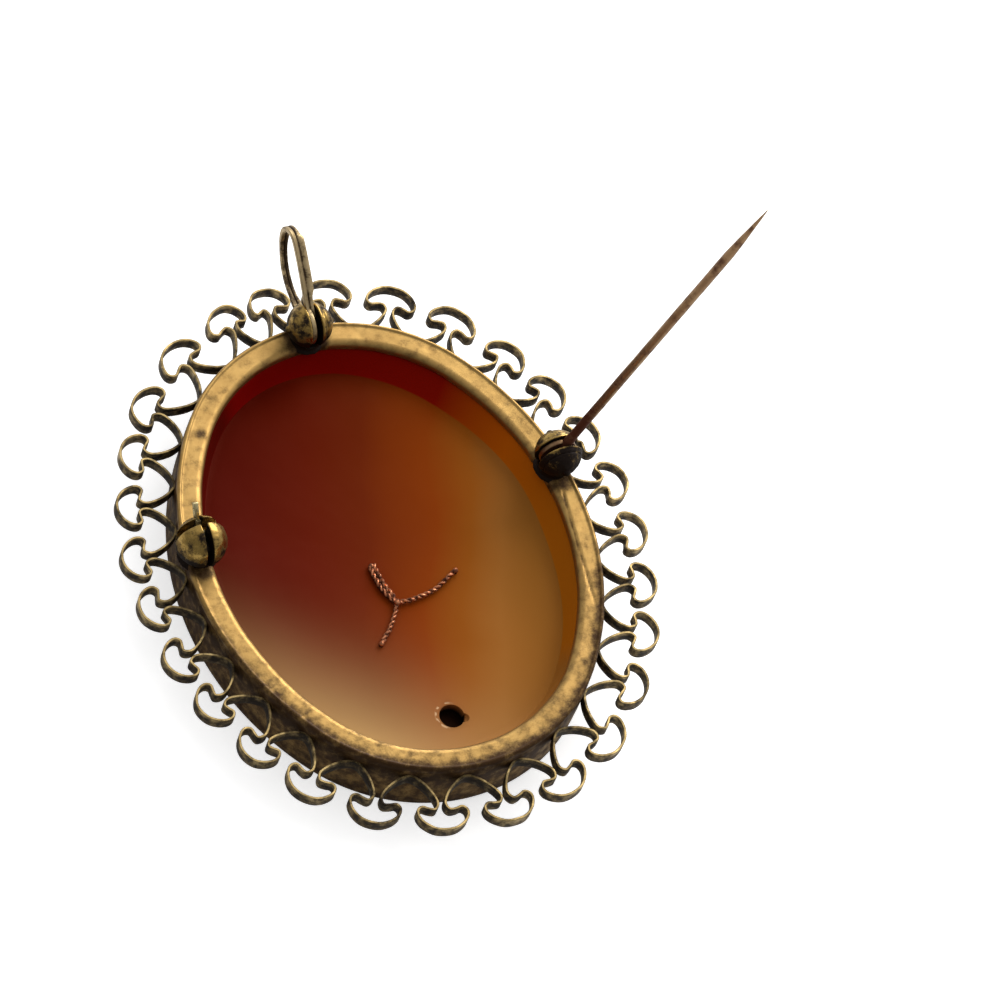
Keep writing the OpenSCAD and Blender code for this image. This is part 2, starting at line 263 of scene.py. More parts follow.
def rod(
    radius: float, depth: float, centre: Vector, axis: Axis = Axis.Z, end_radius: float | None = None,
) -> Piece:
    """Adds a round or tapered rod.

    Args:
        radius: The radius at the rod's lower end.
        depth: The rod's length.
        centre: The rod's middle.
        axis: The axis along which it lies.
        end_radius: The radius at its other end, if it tapers.

    Returns:
        The new piece.
    """
    deselect()
    bpy.ops.mesh.primitive_cone_add(
        vertices=48, radius1=radius, radius2=radius if end_radius is None else end_radius, depth=depth,
        location=centre, rotation=axis.value)
    return bpy.context.object


def block(size: Vector, centre: Vector, rounding: float = 0.0) -> Piece:
    """Adds a block with rounded edges.

    Args:
        size: The block's three sides.
        centre: The block's middle.
        rounding: The radius of its edges.

    Returns:
        The new piece.
    """
    deselect()
    bpy.ops.mesh.primitive_cube_add(size=1.0, location=centre, scale=size)
    piece = bpy.context.object
    activate(piece)
    bpy.ops.object.transform_apply(location=False, rotation=False, scale=True)
    if rounding:
        modify(piece, "BEVEL", width=rounding, segments=3)
    return piece


def nudge(piece: Piece, shift: Callable[[Vector, Vector], Vector]) -> None:
    """Moves each vertex of a piece.

    Args:
        piece: The piece to change.
        shift: Gives a vertex's move from its place and normal.
    """
    moves = [shift(vertex.co.copy(), vertex.normal.copy()) for vertex in piece.data.vertices]
    for vertex, move in zip(piece.data.vertices, moves):
        vertex.co += move
    piece.data.update()


def keep_grime_and_shade(piece: Piece, depth: Callable[[Vector], float]) -> None:
    """Keeps a mask of tarnish and painted shade on a piece's vertices for its material to read.

    Args:
        piece: The piece, still in millimetres.
        depth: Gives the mask's value, tarnish and painted shade, from a vertex's place.
    """
    mask = piece.data.attributes.new(name=GRIME_AND_SHADE, type="FLOAT", domain="POINT")
    values = [depth(vertex.co) for vertex in piece.data.vertices]
    mask.data.foreach_set("value", values)


def mount(piece: Piece, body: Body, metal: Metal, *nodes: str, place: Matrix | None = None) -> Piece:
    """Puts a finished piece in its place, in metres, on the body that carries it.

    Args:
        piece: The piece, modelled in millimetres.
        body: The body that it rides on.
        metal: Not used.
        nodes: The nodes that it stands for.
        place: Its place, where it was modelled about its own middle.

    Returns:
        The piece.
    """
    piece.matrix_world = Matrix.Scale(MM, 4) @ (place or Matrix()) @ piece.matrix_world
    activate(piece)
    bpy.ops.object.transform_apply(location=True, rotation=True, scale=True)
    bpy.ops.object.shade_smooth_by_angle(angle=SMOOTH_ANGLE)
    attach(piece, body.value)
    if nodes:
        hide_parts(*nodes)
    LOG.info("%s: %d vertices on %s", piece.name, len(piece.data.vertices), body.value)
    return piece


def smooth_step(value: float, low: float, high: float) -> float:
    """Eases from 0 at a low value to 1 at a high one."""
    share = min(1.0, max(0.0, (value - low) / (high - low)))
    return share * share * (3 - 2 * share)


def hump(value: float, middle: float, width: float) -> float:
    """Gives a round hump that is 1 in its middle and fades away within about its width."""
    return math.exp(-((value - middle) / width) ** 2)


def ripple(place: Vector, waves: Sequence[tuple[float, float]]) -> float:
    """Adds up the waves of hand work at a place, each given by its height and its fineness."""
    return sum(height * noise.noise(place * fineness) for height, fineness in waves)


def closed_curve(points: Sequence[Vector], steps: int) -> list[Vector]:
    """Draws a smooth closed line through points.

    Args:
        points: The points that the line passes through.
        steps: How many places are put on each stretch.

    Returns:
        The line's places.
    """
    line = []
    count = len(points)
    for index in range(count):
        a, b, c, d = (points[(index + shift) % count] for shift in (-1, 0, 1, 2))
        for step in range(steps):
            t = step / steps
            line.append(0.5 * (2 * b + (c - a) * t + (2 * a - 5 * b + 4 * c - d) * t * t
                               + (3 * b - a - 3 * c + d) * t ** 3))
    return line


def sideways(line: Sequence[Vector]) -> list[Vector]:
    """Finds the left-hand side of a closed flat line at each of its places.

    Args:
        line: The line's places.

    Returns:
        A unit vector for each place.
    """
    count = len(line)
    sides = []
    for index in range(count):
        ahead = line[(index + 1) % count] - line[index - 1]
        sides.append(Vector((-ahead.y, ahead.x, 0)).normalized())
    return sides


@dataclass(frozen=True)
class Oval:
    """The oval of the opening: four arcs drawn with a 3-4-5 triangle."""

    length: float = 38.0
    width: float = 30.0

    @property
    def unit(self) -> float:
        """The triangle's unit."""
        return (self.length - self.width) / 4

    @property
    def end_r(self) -> float:
        """Radius of the two ends."""
        return self.width / 2 - self.unit

    @property
    def side_r(self) -> float:
        """Radius of the two sides."""
        return self.end_r + 5 * self.unit

    @property
    def side_angle(self) -> float:
        """Half the angle that a side takes."""
        return math.atan2(3, 4)

    @property
    def end_arc(self) -> float:
        """Run along an end, from the top to where the side begins."""
        return (math.pi / 2 - self.side_angle) * self.end_r

    @property
    def quarter(self) -> float:
        """Run along a quarter of the oval."""
        return self.end_arc + self.side_angle * self.side_r

    @property
    def perimeter(self) -> float:
        """Run around the whole oval."""
        return 4 * self.quarter

    def point(self, run: float, out: float) -> Vector:
        """Finds a place clockwise from the top, as seen from the back.

        Args:
            run: The way from the top.
            out: The distance outside the opening's edge.

        Returns:
            The flat place.
        """
        run %= self.perimeter
        turn = min(3, int(run // self.quarter))
        part = run - turn * self.quarter
        if turn % 2:
            part = self.quarter - part
        if part < self.end_arc:
            angle = math.pi / 2 - part / self.end_r
            x = (self.end_r + out) * math.cos(angle)
            y = 3 * self.unit + (self.end_r + out) * math.sin(angle)
        else:
            angle = self.side_angle - (part - self.end_arc) / self.side_r
            x = (self.side_r + out) * math.cos(angle) - 4 * self.unit
            y = (self.side_r + out) * math.sin(angle)
        return Vector((x if turn < 2 else -x, y if turn in (0, 3) else -y, 0))

    def out_of(self, place: Vector) -> float:
        """Measures how far a place lies outside the opening's edge."""
        spoke = self.spoke(place)
        return spoke.length - (self.end_r if self.by_end(place) else self.side_r)

    def by_end(self, place: Vector) -> bool:
        """Tells whether a place lies by one of the two ends, and not by a side."""
        return abs(place.y) >= 3 * self.unit + 0.75 * abs(place.x)

    def spoke(self, place: Vector) -> Vector:
        """Finds the way to a place from the middle of its arc, as if it lay at the top right.

        Args:
            place: The place.

        Returns:
            The flat way.
        """
        if self.by_end(place):
            return Vector((abs(place.x), abs(place.y) - 3 * self.unit, 0))
        return Vector((abs(place.x) + 4 * self.unit, abs(place.y), 0))

    def outwards(self, place: Vector) -> Vector:
        """Finds the unit vector that points straight out of the oval at a place."""
        way = self.spoke(place)
        return Vector((math.copysign(way.x, place.x), math.copysign(way.y, place.y), 0)).normalized()

    def around(self, section: Sequence[tuple[float, float]], count: int) -> list[list[Vector]]:
        """Sweeps a section around the oval."""
        runs = [index * self.perimeter / count for index in range(count)]
        return [[self.point(run, out) + Vector((0, 0, height)) for run in runs] for out, height in section]


OVAL = Oval()
BEZEL_H = 5.4
FLANGE_W = 2.15
# How high the rivets and the catch's middle stand over the bezel
RIVET_RISE = 2.3
PIN_Y = 3.44
CATCH_Y = 3.0
BAIL_Y = OVAL.length / 2 + FLANGE_W / 2
# Height of the carving's ground at the cameo's middle
GROUND_Z = 1.15
# Brings a piece that is modelled flat onto its edge: its X to the brooch's +Y, and its Y up
ON_EDGE = Matrix(((0, 0, 1, 0), (1, 0, 0, 0), (0, 1, 0, 0), (0, 0, 0, 1)))


def flange_x(y: float) -> float:
    """Finds how far across the flange's middle lies, at a place along the brooch's side."""
    return math.sqrt((OVAL.side_r + FLANGE_W / 2) ** 2 - y ** 2) - 4 * OVAL.unit


# Where the bail's ball, the pin's ball and the catch stand
FEET = ((0.0, BAIL_Y), (flange_x(PIN_Y), PIN_Y), (-flange_x(CATCH_Y), CATCH_Y))


# Materials

# Where a mix node keeps its share and its two colours, and the mixed colour
MIX_INPUTS = (0, 6, 7)
MIX_OUTPUT = 2


class Graph:
    """Adds nodes to one node tree and links them."""

    def __init__(self, tree: bpy.types.NodeTree) -> None:
        """Keeps the tree."""
        self.tree = tree

    def node(self, kind: str, **settings: object) -> bpy.types.Node:
        """Adds a node.

        Args:
            kind: The node's type.
            settings: The node's own settings.

        Returns:
            The new node.
        """
        node = self.tree.nodes.new(kind)
        for name, value in settings.items():
            setattr(node, name, value)
        return node

    def put(self, socket: Socket, value: object) -> None:
        """Links or sets an input.

        Args:
            socket: The input.
            value: Another node's output, or a plain value.
        """
        if isinstance(value, bpy.types.NodeSocket):
            self.tree.links.new(value, socket)
        elif isinstance(value, tuple) and len(value) == 3 and socket.type == "RGBA":
            socket.default_value = (*value, 1.0)
        else:
            socket.default_value = value

    def reckon(self, operation: str, first: object, second: object) -> Socket:
        """Works one value out of two.

        Args:
            operation: Blender's name for what is done with them.
            first: The first value.
            second: The second value.

        Returns:
            The result, which may lie outside 0 to 1.
        """
        node = self.node("ShaderNodeMath", operation=operation)
        self.put(node.inputs[0], first)
        self.put(node.inputs[1], second)
        return node.outputs[0]

    def plus(self, first: object, second: object) -> Socket:
        """Adds two values."""
        return self.reckon("ADD", first, second)

    def minus(self, first: object, second: object) -> Socket:
        """Takes the second value from the first."""
        return self.reckon("SUBTRACT", first, second)

    def times(self, first: object, second: object) -> Socket:
        """Multiplies two values."""
        return self.reckon("MULTIPLY", first, second)

    def fit(
        self, value: object, low: object, high: object, to_low: float = 0.0, to_high: float = 1.0,
    ) -> Socket:
        """Fits a value from one range into another, with soft ends.

        Args:
            value: The value to fit.
            low: The range's low end.
            high: The range's high end.
            to_low: The result at the low end.
            to_high: The result at the high end.

        Returns:
            The fitted value.
        """
        node = self.node("ShaderNodeMapRange", interpolation_type="SMOOTHSTEP")
        for socket, amount in zip(node.inputs[:5], (value, low, high, to_low, to_high)):
            self.put(socket, amount)
        return node.outputs[0]

    def mix(self, share: object, first: object, second: object) -> Socket:
        """Mixes two colours.

        Args:
            share: The second colour's share.
            first: The first colour.
            second: The second colour.

        Returns:
            The mixed colour.
        """
        node = self.node("ShaderNodeMix", data_type="RGBA")
        for index, value in zip(MIX_INPUTS, (share, first, second)):
            self.put(node.inputs[index], value)
        return node.outputs[MIX_OUTPUT]

    def place(self) -> Socket:
        """Gives the place on the object in millimetres.

        Returns:
            The place.
        """
        mapping = self.node("ShaderNodeMapping")
        mapping.inputs["Scale"].default_value = [1 / MM] * 3
        self.put(mapping.inputs["Vector"], self.node("ShaderNodeTexCoord").outputs["Object"])
        return mapping.outputs[0]

    def split(self, vector: Socket) -> Sequence[Socket]:
        """Splits a vector into its values along X, Y and Z.

        Args:
            vector: The vector.

        Returns:
            The three values.
        """
        node = self.node("ShaderNodeSeparateXYZ")
        self.put(node.inputs[0], vector)
        return node.outputs

    def towards(self, parts: Sequence[Socket], across: float, along: float) -> Socket:
        """Measures how far a place lies in one direction, from the direction's shares along X and Y."""
        return self.plus(self.times(parts[0], across), self.times(parts[1], along))

    def gap(self, place: Socket, point: tuple[float, float, float]) -> Socket:
        """Measures how far a place is from a point.

        Args:
            place: The place.
            point: The point, in millimetres.

        Returns:
            The distance in millimetres.
        """
        node = self.node("ShaderNodeVectorMath", operation="DISTANCE")
        self.put(node.inputs[0], place)
        node.inputs[1].default_value = point
        return node.outputs["Value"]

    def noise(self, vector: Socket, scale: object, detail: float = 4.0) -> Socket:
        """Adds cloudy noise.

        Args:
            vector: The place that it reads.
            scale: How fine it is.
            detail: How many finer layers it has.

        Returns:
            A value about a half.
        """
        node = self.node("ShaderNodeTexNoise")
        self.put(node.inputs["Vector"], vector)
        self.put(node.inputs["Scale"], scale)
        self.put(node.inputs["Detail"], detail)
        return node.outputs["Fac"]

    def grime_and_shade(self) -> Socket:
        """Reads the mask of tarnish and painted shade that a piece carries."""
        return self.node("ShaderNodeAttribute", attribute_name=GRIME_AND_SHADE).outputs["Fac"]

    def ramp(self, value: Socket, stops: Sequence[tuple[float, Colour]]) -> Socket:
        """Turns a value into colours.

        Args:
            value: A value from 0 to 1.
            stops: Places from 0 to 1, each with its colour.

        Returns:
            The colour.
        """
        node = self.node("ShaderNodeValToRGB")
        band = node.color_ramp
        while len(band.elements) < len(stops):
            band.elements.new(0.5)
        for element, (place, colour) in zip(band.elements, stops):
            element.position = place
            element.color = (*colour, 1.0)
        self.put(node.inputs[0], value)
        return node.outputs[0]

    def bump(self, height: Socket, depth: float) -> Socket:
        """Turns a height pattern into a normal.

        Args:
            height: The pattern, from 0 to 1.
            depth: Its depth in millimetres.

        Returns:
            The normal.
        """
        node = self.node("ShaderNodeBump")
        node.inputs["Strength"].default_value = 1.0
        node.inputs["Distance"].default_value = depth * MM
        self.put(node.inputs["Height"], height)
        return node.outputs[0]

    def effect(self, group: bpy.types.NodeTree, **values: object) -> Socket:
        """Places a shared effect.

        Args:
            group: The effect's node group.
            values: The effect's inputs, by name.

        Returns:
            The effect's output.
        """
        node = self.node("ShaderNodeGroup", node_tree=group)
        for name, value in values.items():
            self.put(node.inputs[name], value)
        return node.outputs[0]

    def put_out(self, value: Socket) -> bpy.types.NodeTree:
        """Makes a value the output of a group, and gives the finished group."""
        self.put(self.node("NodeGroupOutput").inputs[0], value)
        return self.tree


def new_group(
    name: str, inputs: dict[str, tuple[str, object]], output: str,
) -> tuple[Graph, dict[str, Socket]]:
    """Starts a shader node group.

    Args:
        name: The group's name.
        inputs: Each input's kind and usual value, by name.
        output: The name of its one output, a value.

    Returns:
        The group's graph, and its inputs by name.
    """
    tree = bpy.data.node_groups.new(name, "ShaderNodeTree")
    for label, (kind, value) in inputs.items():
        socket = tree.interface.new_socket(label, in_out="INPUT", socket_type=kind)
        if value is not None:
            socket.default_value = value
    tree.interface.new_socket(output, in_out="OUTPUT", socket_type="NodeSocketFloat")
    graph = Graph(tree)
    start = graph.node("NodeGroupInput")
    return graph, {label: start.outputs[label] for label in inputs}


def make_blotches() -> bpy.types.NodeTree:
    """Builds cloudy blotches, used for tarnish and, where a piece's mask sets their amount, for painted
    shade.

    Returns:
        The group. Amount gives how much is covered, and Edge how soft the blotches end.
    """
    graph, given = new_group("Tarnish and shade blotches", {
        "Place": ("NodeSocketVector", None),
        "Scale": ("NodeSocketFloat", 1.0),
        "Amount": ("NodeSocketFloat", 0.5),
        "Edge": ("NodeSocketFloat", 0.1),
    }, "Mask")
    coarse = graph.noise(given["Place"], given["Scale"], 8.0)
    fine = graph.noise(given["Place"], graph.times(given["Scale"], 6.0), 4.0)
    cloud = graph.plus(graph.times(coarse, 0.75), graph.times(fine, 0.25))
    start = graph.minus(0.72, graph.times(given["Amount"], 0.46))
    low, high = graph.minus(start, given["Edge"]), graph.plus(start, given["Edge"])
    return graph.put_out(graph.fit(cloud, low, high))


def make_scratches() -> bpy.types.NodeTree:
    """Builds the effect of fine scratches that cross each other.

    Returns:
        The group. Its output is a height from 0 to 1.
    """
    graph, given = new_group("Fine scratches", {
        "Place": ("NodeSocketVector", None),
        "Scale": ("NodeSocketFloat", 1.0),
    }, "Height")
    layers = []
    for turn in (0.5, 2.1):
        mapping = graph.node("ShaderNodeMapping")
        mapping.inputs["Rotation"].default_value = (0.2, 0.1, turn)
        mapping.inputs["Scale"].default_value = (0.12, 2.4, 1.0)
        graph.put(mapping.inputs["Vector"], given["Place"])
        layers.append(graph.noise(mapping.outputs[0], given["Scale"], 3.0))
    return graph.put_out(graph.times(*layers))


BLOTCHES = make_blotches()
SCRATCHES = make_scratches()


def new_material(name: str) -> tuple[bpy.types.Material, Graph, bpy.types.Node]:
    """Starts a material.

    Args:
        name: The material's name.

    Returns:
        The material, its graph and its shader.
    """
    material = bpy.data.materials.new(name)
    material.use_nodes = True
    return material, Graph(material.node_tree), material.node_tree.nodes["Principled BSDF"]


@dataclass(frozen=True)
class WornMetal:
    """Gilt metal, dark in blotches where its mask is high: real tarnish, and painted shade in slots, grooves,
    hollows and on the sides away from the light.

    The piece carries that mask, from 0 where it is clean or carries a painted highlight to 1 where it is
    black.
    """

    name: str
    bright: Colour
    dull: Colour
    dark: Colour
    roughness: float
    blotch: float
    edge: float = 0.12
    bump: float = 0.012

    def make(self) -> bpy.types.Material:
        """Builds the material.

        Returns:
            The material.
        """
        material, graph, shader = new_material(self.name)
        place = graph.place()
        grime_and_shade = graph.grime_and_shade()
        film = graph.effect(BLOTCHES, Place=place, Scale=self.blotch * 0.4, Amount=0.45, Edge=0.2)
        # The dark blotches follow the mask, so they paint real tarnish and painted shade alike.
        crust_and_shade = graph.effect(BLOTCHES, Place=place, Scale=self.blotch, Amount=grime_and_shade, Edge=self.edge)
        gold = graph.mix(graph.times(film, 0.6), self.bright, self.dull)
        graph.put(shader.inputs["Base Color"], graph.mix(crust_and_shade, gold, self.dark))
        graph.put(shader.inputs["Metallic"], graph.fit(crust_and_shade, 0.0, 1.0, 1.0, 0.35))
        shader.inputs["Specular IOR Level"].default_value = 0.2
        scratches = graph.effect(SCRATCHES, Place=place, Scale=5.0)
        rough = graph.plus(graph.fit(crust_and_shade, 0.0, 1.0, self.roughness, 0.6),
                           graph.times(graph.minus(film, 0.5), 0.12))
        graph.put(shader.inputs["Roughness"], rough)
        grain = graph.plus(graph.times(scratches, 0.5), graph.times(graph.noise(place, 2.5, 3.0), 0.5))
        graph.put(shader.inputs["Normal"], graph.bump(grain, self.bump))
        return material


FLANGE_GILT = WornMetal("Gilt flange", srgb(178, 144, 86), srgb(152, 119, 68), srgb(62, 40, 16),
                        roughness=0.42, blotch=1.3, edge=0.26)
RIBBON_GILT = WornMetal("Gilt ribbon", srgb(206, 180, 124), srgb(152, 126, 80), srgb(36, 26, 13),
                        roughness=0.3, blotch=1.5, edge=0.26)
CAST_GILT = WornMetal("Olive gilt", srgb(178, 148, 84), srgb(118, 88, 42), srgb(24, 12, 5),
                      roughness=0.27, blotch=1.2)
PIN_METAL = WornMetal("Pin metal", srgb(150, 122, 90), srgb(124, 92, 66), srgb(84, 46, 30),
                      roughness=0.32, blotch=0.7)
BAIL_METAL = WornMetal("Bail metal", srgb(188, 166, 126), srgb(150, 128, 92), srgb(66, 50, 32),
                       roughness=0.34, blotch=1.4)
CATCH_METAL = WornMetal("Catch metal", srgb(214, 198, 150), srgb(150, 132, 88), srgb(52, 40, 20),
                        roughness=0.28, blotch=1.6)
COPPER_WIRE = WornMetal("Copper wire", srgb(218, 146, 106), srgb(156, 88, 56), srgb(64, 26, 13),
                        roughness=0.28, blotch=2.5)


# Pieces


@dataclass
class Bezel:
    """The soldered bezel: a crowned flange behind, a wall, and a sloped lip in front."""

    flange_t: float = 0.45
    crown_h: float = 0.55
    wall_t: float = 0.45
    lip_w: float = 1.2
    lip_t: float = 0.4
    lip_h: float = 1.6
    places: int = 560
    spot_r: float = 0.52
    crease_w: float = 0.1
    crease_d: float = 0.07
    crease_slant: float = 0.1266

    # The dark spot on the flange, and the lower end of its crease
    SPOT = (-11.8, 13.4)
    CREASE = (14.37, -9.36)
    # Height and fineness of the waves that hand work leaves
    WAVES = ((0.035, 0.45), (0.008, 1.7))

    def section(self) -> list[tuple[float, float]]:
        """Draws the section, from the flange's inner edge over its crown and down the wall.

        Returns:
            The section's points, as distance outside the opening and height.
        """
        top = BEZEL_H + self.crown_h
        under = BEZEL_H - self.flange_t
        wall_in = FLANGE_W - self.wall_t
        lip_in = FLANGE_W - self.lip_w
        flat = [(0.5 + 0.116 * step, BEZEL_H + 0.4 + 0.002 * step) for step in range(11)]
        return [
            (0.05, under), (0.0, under + 0.06), (0.0, under + 0.2), (0.0, BEZEL_H - 0.06),
            (0.03, BEZEL_H + 0.07), (0.08, BEZEL_H + 0.16), (0.15, BEZEL_H + 0.235), (0.24, BEZEL_H + 0.3),
            (0.36, BEZEL_H + 0.36), *flat, (1.72, BEZEL_H + 0.43), (1.78, BEZEL_H + 0.49),
            (1.84, BEZEL_H + 0.53), (1.9, top), (1.98, top - 0.03), (2.07, top - 0.12),
            (2.12, top - 0.25), (2.13, BEZEL_H + 0.1), (2.1, BEZEL_H - 0.12), (2.12, BEZEL_H - 0.3),
            (FLANGE_W, BEZEL_H - 0.5), (FLANGE_W, 3.6), (FLANGE_W, 2.2), (FLANGE_W, 0.9),
            (FLANGE_W - 0.03, 0.34), (FLANGE_W - 0.1, 0.12), (FLANGE_W - 0.22, 0.02), (FLANGE_W - 0.34, 0.0),
            (FLANGE_W - 0.52, 0.02), (FLANGE_W - 0.6, 0.1), (lip_in + 0.15, self.lip_h - self.lip_t - 0.15),
            (lip_in + 0.02, self.lip_h - self.lip_t + 0.06), (lip_in, self.lip_h - 0.06),
            (lip_in + 0.08, self.lip_h), (wall_in, self.lip_h), (wall_in, 3.2), (wall_in, under + 0.4),
            (0.9, under + 0.2),
        ]

    def build(self) -> Piece:
        """Models the bezel.

        Returns:
            The piece.
        """
        piece = loft("bezel", OVAL.around(self.section(), self.places), closed=True)
        nudge(piece, self.wear)
        keep_grime_and_shade(piece, self.grime_and_shade)
        return piece

    def crease(self, place: Vector) -> float:
        """Judges how near a place is to the crease that runs slantwise down the flange's right side."""
        along = smooth_step(place.y, -10.4, -8.6) * (1 - smooth_step(place.y, 0.4, 1.4))
        middle = self.CREASE[0] + self.crease_slant * (place.y - self.CREASE[1])
        return along * hump(place.x, middle, self.crease_w) * (place.z > BEZEL_H)

    def wear(self, place: Vector, normal: Vector) -> Vector:
        """Gives the bezel the faint waves of hand work, and its crease."""
        wave = ripple(place, self.WAVES) * smooth_step(place.z, 0.3, 1.6)
        return normal * (wave - self.crease_d * self.crease(place))

    def grime_and_shade(self, place: Vector) -> float:
        """Judges how dark the bezel is at a place: tarnish and stains, with painted shade, painted shadow and
        a painted highlight.

        Args:
            place: The place.

        Returns:
            The mask, from 0 to 1.
        """
        out = OVAL.out_of(place)
        # Towards the bottom of the brooch, away from the light, the flange is darkened: painted shade.
        low = smooth_step(-place.y + 0.25 * abs(place.x), 2, 16)
        # The wall under the flange: tarnish and the painted shade under the flange's overhang, eased at mid
        # height towards the bottom.
        if place.z < BEZEL_H - 0.05 and out > 1.9:
            return 0.9 - 0.32 * hump(place.z, 2.2, 1.2) * low
        spot = hump((place - Vector((*self.SPOT, place.z))).length, 0, self.spot_r)
        # Solder stain and the painted shadow of the balls and the catch about their feet.
        feet = max(self.foot_stain_and_shadow(place, x, y) for x, y in FEET)
        # The spot is a real stain; the crease is darkened as painted shade.
        marks = max(0.9 * spot, 0.85 * feet, 0.62 * self.crease(place)) * (place.z > BEZEL_H - 0.5)
        # Tarnish along the outer edge, widened and darkened towards the bottom as painted shade.
        rim = smooth_step(out, 1.7 - 0.85 * low, 2.05) * (0.28 + 0.4 * low)
        # Painted shade: the inner edge is darkened on the far side, where it faces away from the light.
        away = smooth_step(0.66 * place.x + 0.75 * place.y, 0, 9)
        inner = (1 - smooth_step(out, 0.0, 0.3)) * 0.16 * away
        # Painted highlight: a clean bright line along the rolled outer edge, except towards the bottom.
        outer_highlight = smooth_step(out, 1.74, 1.82) * 0.34 * (1 - low)
        return max(marks, 0.1 + rim + inner + 0.16 * low - outer_highlight)

    def foot_stain_and_shadow(self, place: Vector, x: float, y: float) -> float:
        """Judges how dark the flange is about a soldered foot: the solder's stain, and the painted shadow
        that the ball casts, stretched towards the near side.
        """
        stretch = 0.75 if place.y < y else 1.0
        return 1 - smooth_step(math.hypot(place.x - x, (place.y - y) * stretch), 1.5, 2.3)


@dataclass
class ScrollGallery:
    """The pierced border: one thin ribbon bent on edge into scrolls."""

    scrolls: int = 28
    reach: float = 4.9
    thick: float = 0.22
    depth: float = 1.16
    top: float = BEZEL_H - 0.6
    first: float = 0.66
    step: float = 1.013
    seed: int = 11

    # From a scroll's middle to the foot of its cup: run in steps, reach as a share
    LINE = (
        (0.000, 1.000), (0.150, 0.972), (0.280, 0.875), (0.362, 0.745), (0.370, 0.630), (0.305, 0.565),
        (0.210, 0.590), (0.115, 0.600), (0.062, 0.510), (0.078, 0.395), (0.165, 0.235), (0.310, 0.085),
        (0.500, 0.000),
    )
    # Height and fineness of the ribbon's ups and downs
    WAVES = ((0.1, 0.16), (0.05, 0.9))

    def middle(self, index: int) -> float:
        """Finds a scroll's middle in steps from the top.

        Args:
            index: The scroll, which may be one before the first or past the last.

        Returns:
            The place in even steps.
        """
        laps, index = divmod(index, self.scrolls)
        place = self.scrolls - 0.3 if index == self.scrolls - 1 else self.first + index * self.step
        return place + laps * self.scrolls

    def line(self) -> list[Vector]:
        """Draws the ribbon's middle line, with the small unevenness of hand work.

        Returns:
            The line's places.
        """
        chance = random.Random(self.seed)
        even = OVAL.perimeter / self.scrolls
        seat = FLANGE_W + self.thick / 2 - 0.08
        span = self.reach - self.thick + 0.08
        points = []
        for index in range(self.scrolls):
            here = self.middle(index)
            slide = chance.uniform(-0.02, 0.02)
            tall = chance.uniform(-0.035, 0.0)
            lean = chance.uniform(-0.03, 0.03)
            halves = ((-1, here - self.middle(index - 1), self.LINE[:0:-1]),
                      (1, self.middle(index + 1) - here, self.LINE[:-1]))
            for way, room, half in halves:
                for run, share in half:
                    free = 1 - abs(1 - share) ** 4
                    along = way * run * room + (slide + lean * share) * min(1.0, 2 * share)
                    out = seat + share * span * (1 + tall * share)
                    point = OVAL.point((here + along) * even, out + 0.02 * chance.uniform(-1, 1) * free)
                    points.append(point)
        return closed_curve(points, steps=4)

    def build(self) -> Piece:
        """Models the ribbon.

        Returns:
            The piece.
        """
        line = self.line()
        sides = sideways(line)
        half = self.thick / 2
        low = self.top - self.depth
        section = [
            (-half, low + 0.06), (-half, low + self.depth * 0.5), (-half, self.top - 0.06),
            (-half * 0.6, self.top - 0.01), (half * 0.6, self.top - 0.01), (half, self.top - 0.06),
            (half, low + self.depth * 0.5), (half, low + 0.06), (half * 0.6, low), (-half * 0.6, low),
        ]
        rings = [[place + side * across + Vector((0, 0, height + self.wave(place)))
                  for place, side in zip(line, sides)] for across, height in section]
        piece = loft("scroll_gallery", rings, closed=True)
        keep_grime_and_shade(piece, self.grime_and_shade)
        return piece

    def wave(self, place: Vector) -> float:
        """Lifts the ribbon a little here and there."""
        free = smooth_step(OVAL.out_of(place), FLANGE_W + 0.3, FLANGE_W + 3)
        return free * ripple(place, self.WAVES)

    def grime_and_shade(self, place: Vector) -> float:
        """Judges how dark the ribbon is at a place: rubbed bright on its top edge, and darkened on its sides
        with painted shade, the more so near the bezel.

        Args:
            place: The place.

        Returns:
            The mask, from 0 to 1.
        """
        # The top edge is rubbed bright; the sides are darkened as painted shade, deepest close to the bezel.
        worn = smooth_step(place.z, self.top - 0.09, self.top - 0.03)
        deep_shade = 1 - smooth_step(OVAL.out_of(place), FLANGE_W, FLANGE_W + 2.5)
        return (0.83 + 0.17 * deep_shade) * (1 - worn) + (0.3 + 0.34 * deep_shade) * worn


@dataclass(frozen=True)
class Eye:
    """The eye that turns on a rivet, bright on its rim, and dark on its sides with painted shade where they
    sit in the ball's slot.
    """

    axis: Axis
    radius: float = 1.6
    thick: float = 0.42
    off: float = -0.19
    rounding: float = 0.08

    def build(self) -> Piece:
        """Models the eye about the rivet's middle.

        Returns:
            The piece.
        """
        along = "XYZ".index(self.axis.name)
        centre = Vector((0, 0, 0))
        centre[along] = self.off
        piece = rod(self.radius, self.thick, centre, self.axis)
        bpy.ops.object.transform_apply(location=True, rotation=True, scale=True)
        modify(piece, "BEVEL", width=self.rounding, segments=3, limit_method="ANGLE",
               angle_limit=math.radians(60))
        side = self.thick / 2 - 0.01
        # Painted shade on the eye's sides, inside the slot; the rim stays bright.
        keep_grime_and_shade(piece, lambda place: 0.98 if abs(place[along] - self.off) > side else 0.3)
        return piece


def in_slot(place: Vector, aside: float, width: float, radius: float) -> float:
    """Judges how deep a place lies in the slot of a ball, for the painted shade inside the slot."""
    between = 1 - smooth_step(aside, width / 2 + 0.02, width / 2 + 0.1)
    return between * (1 - smooth_step(place.length, radius - 0.25, radius))


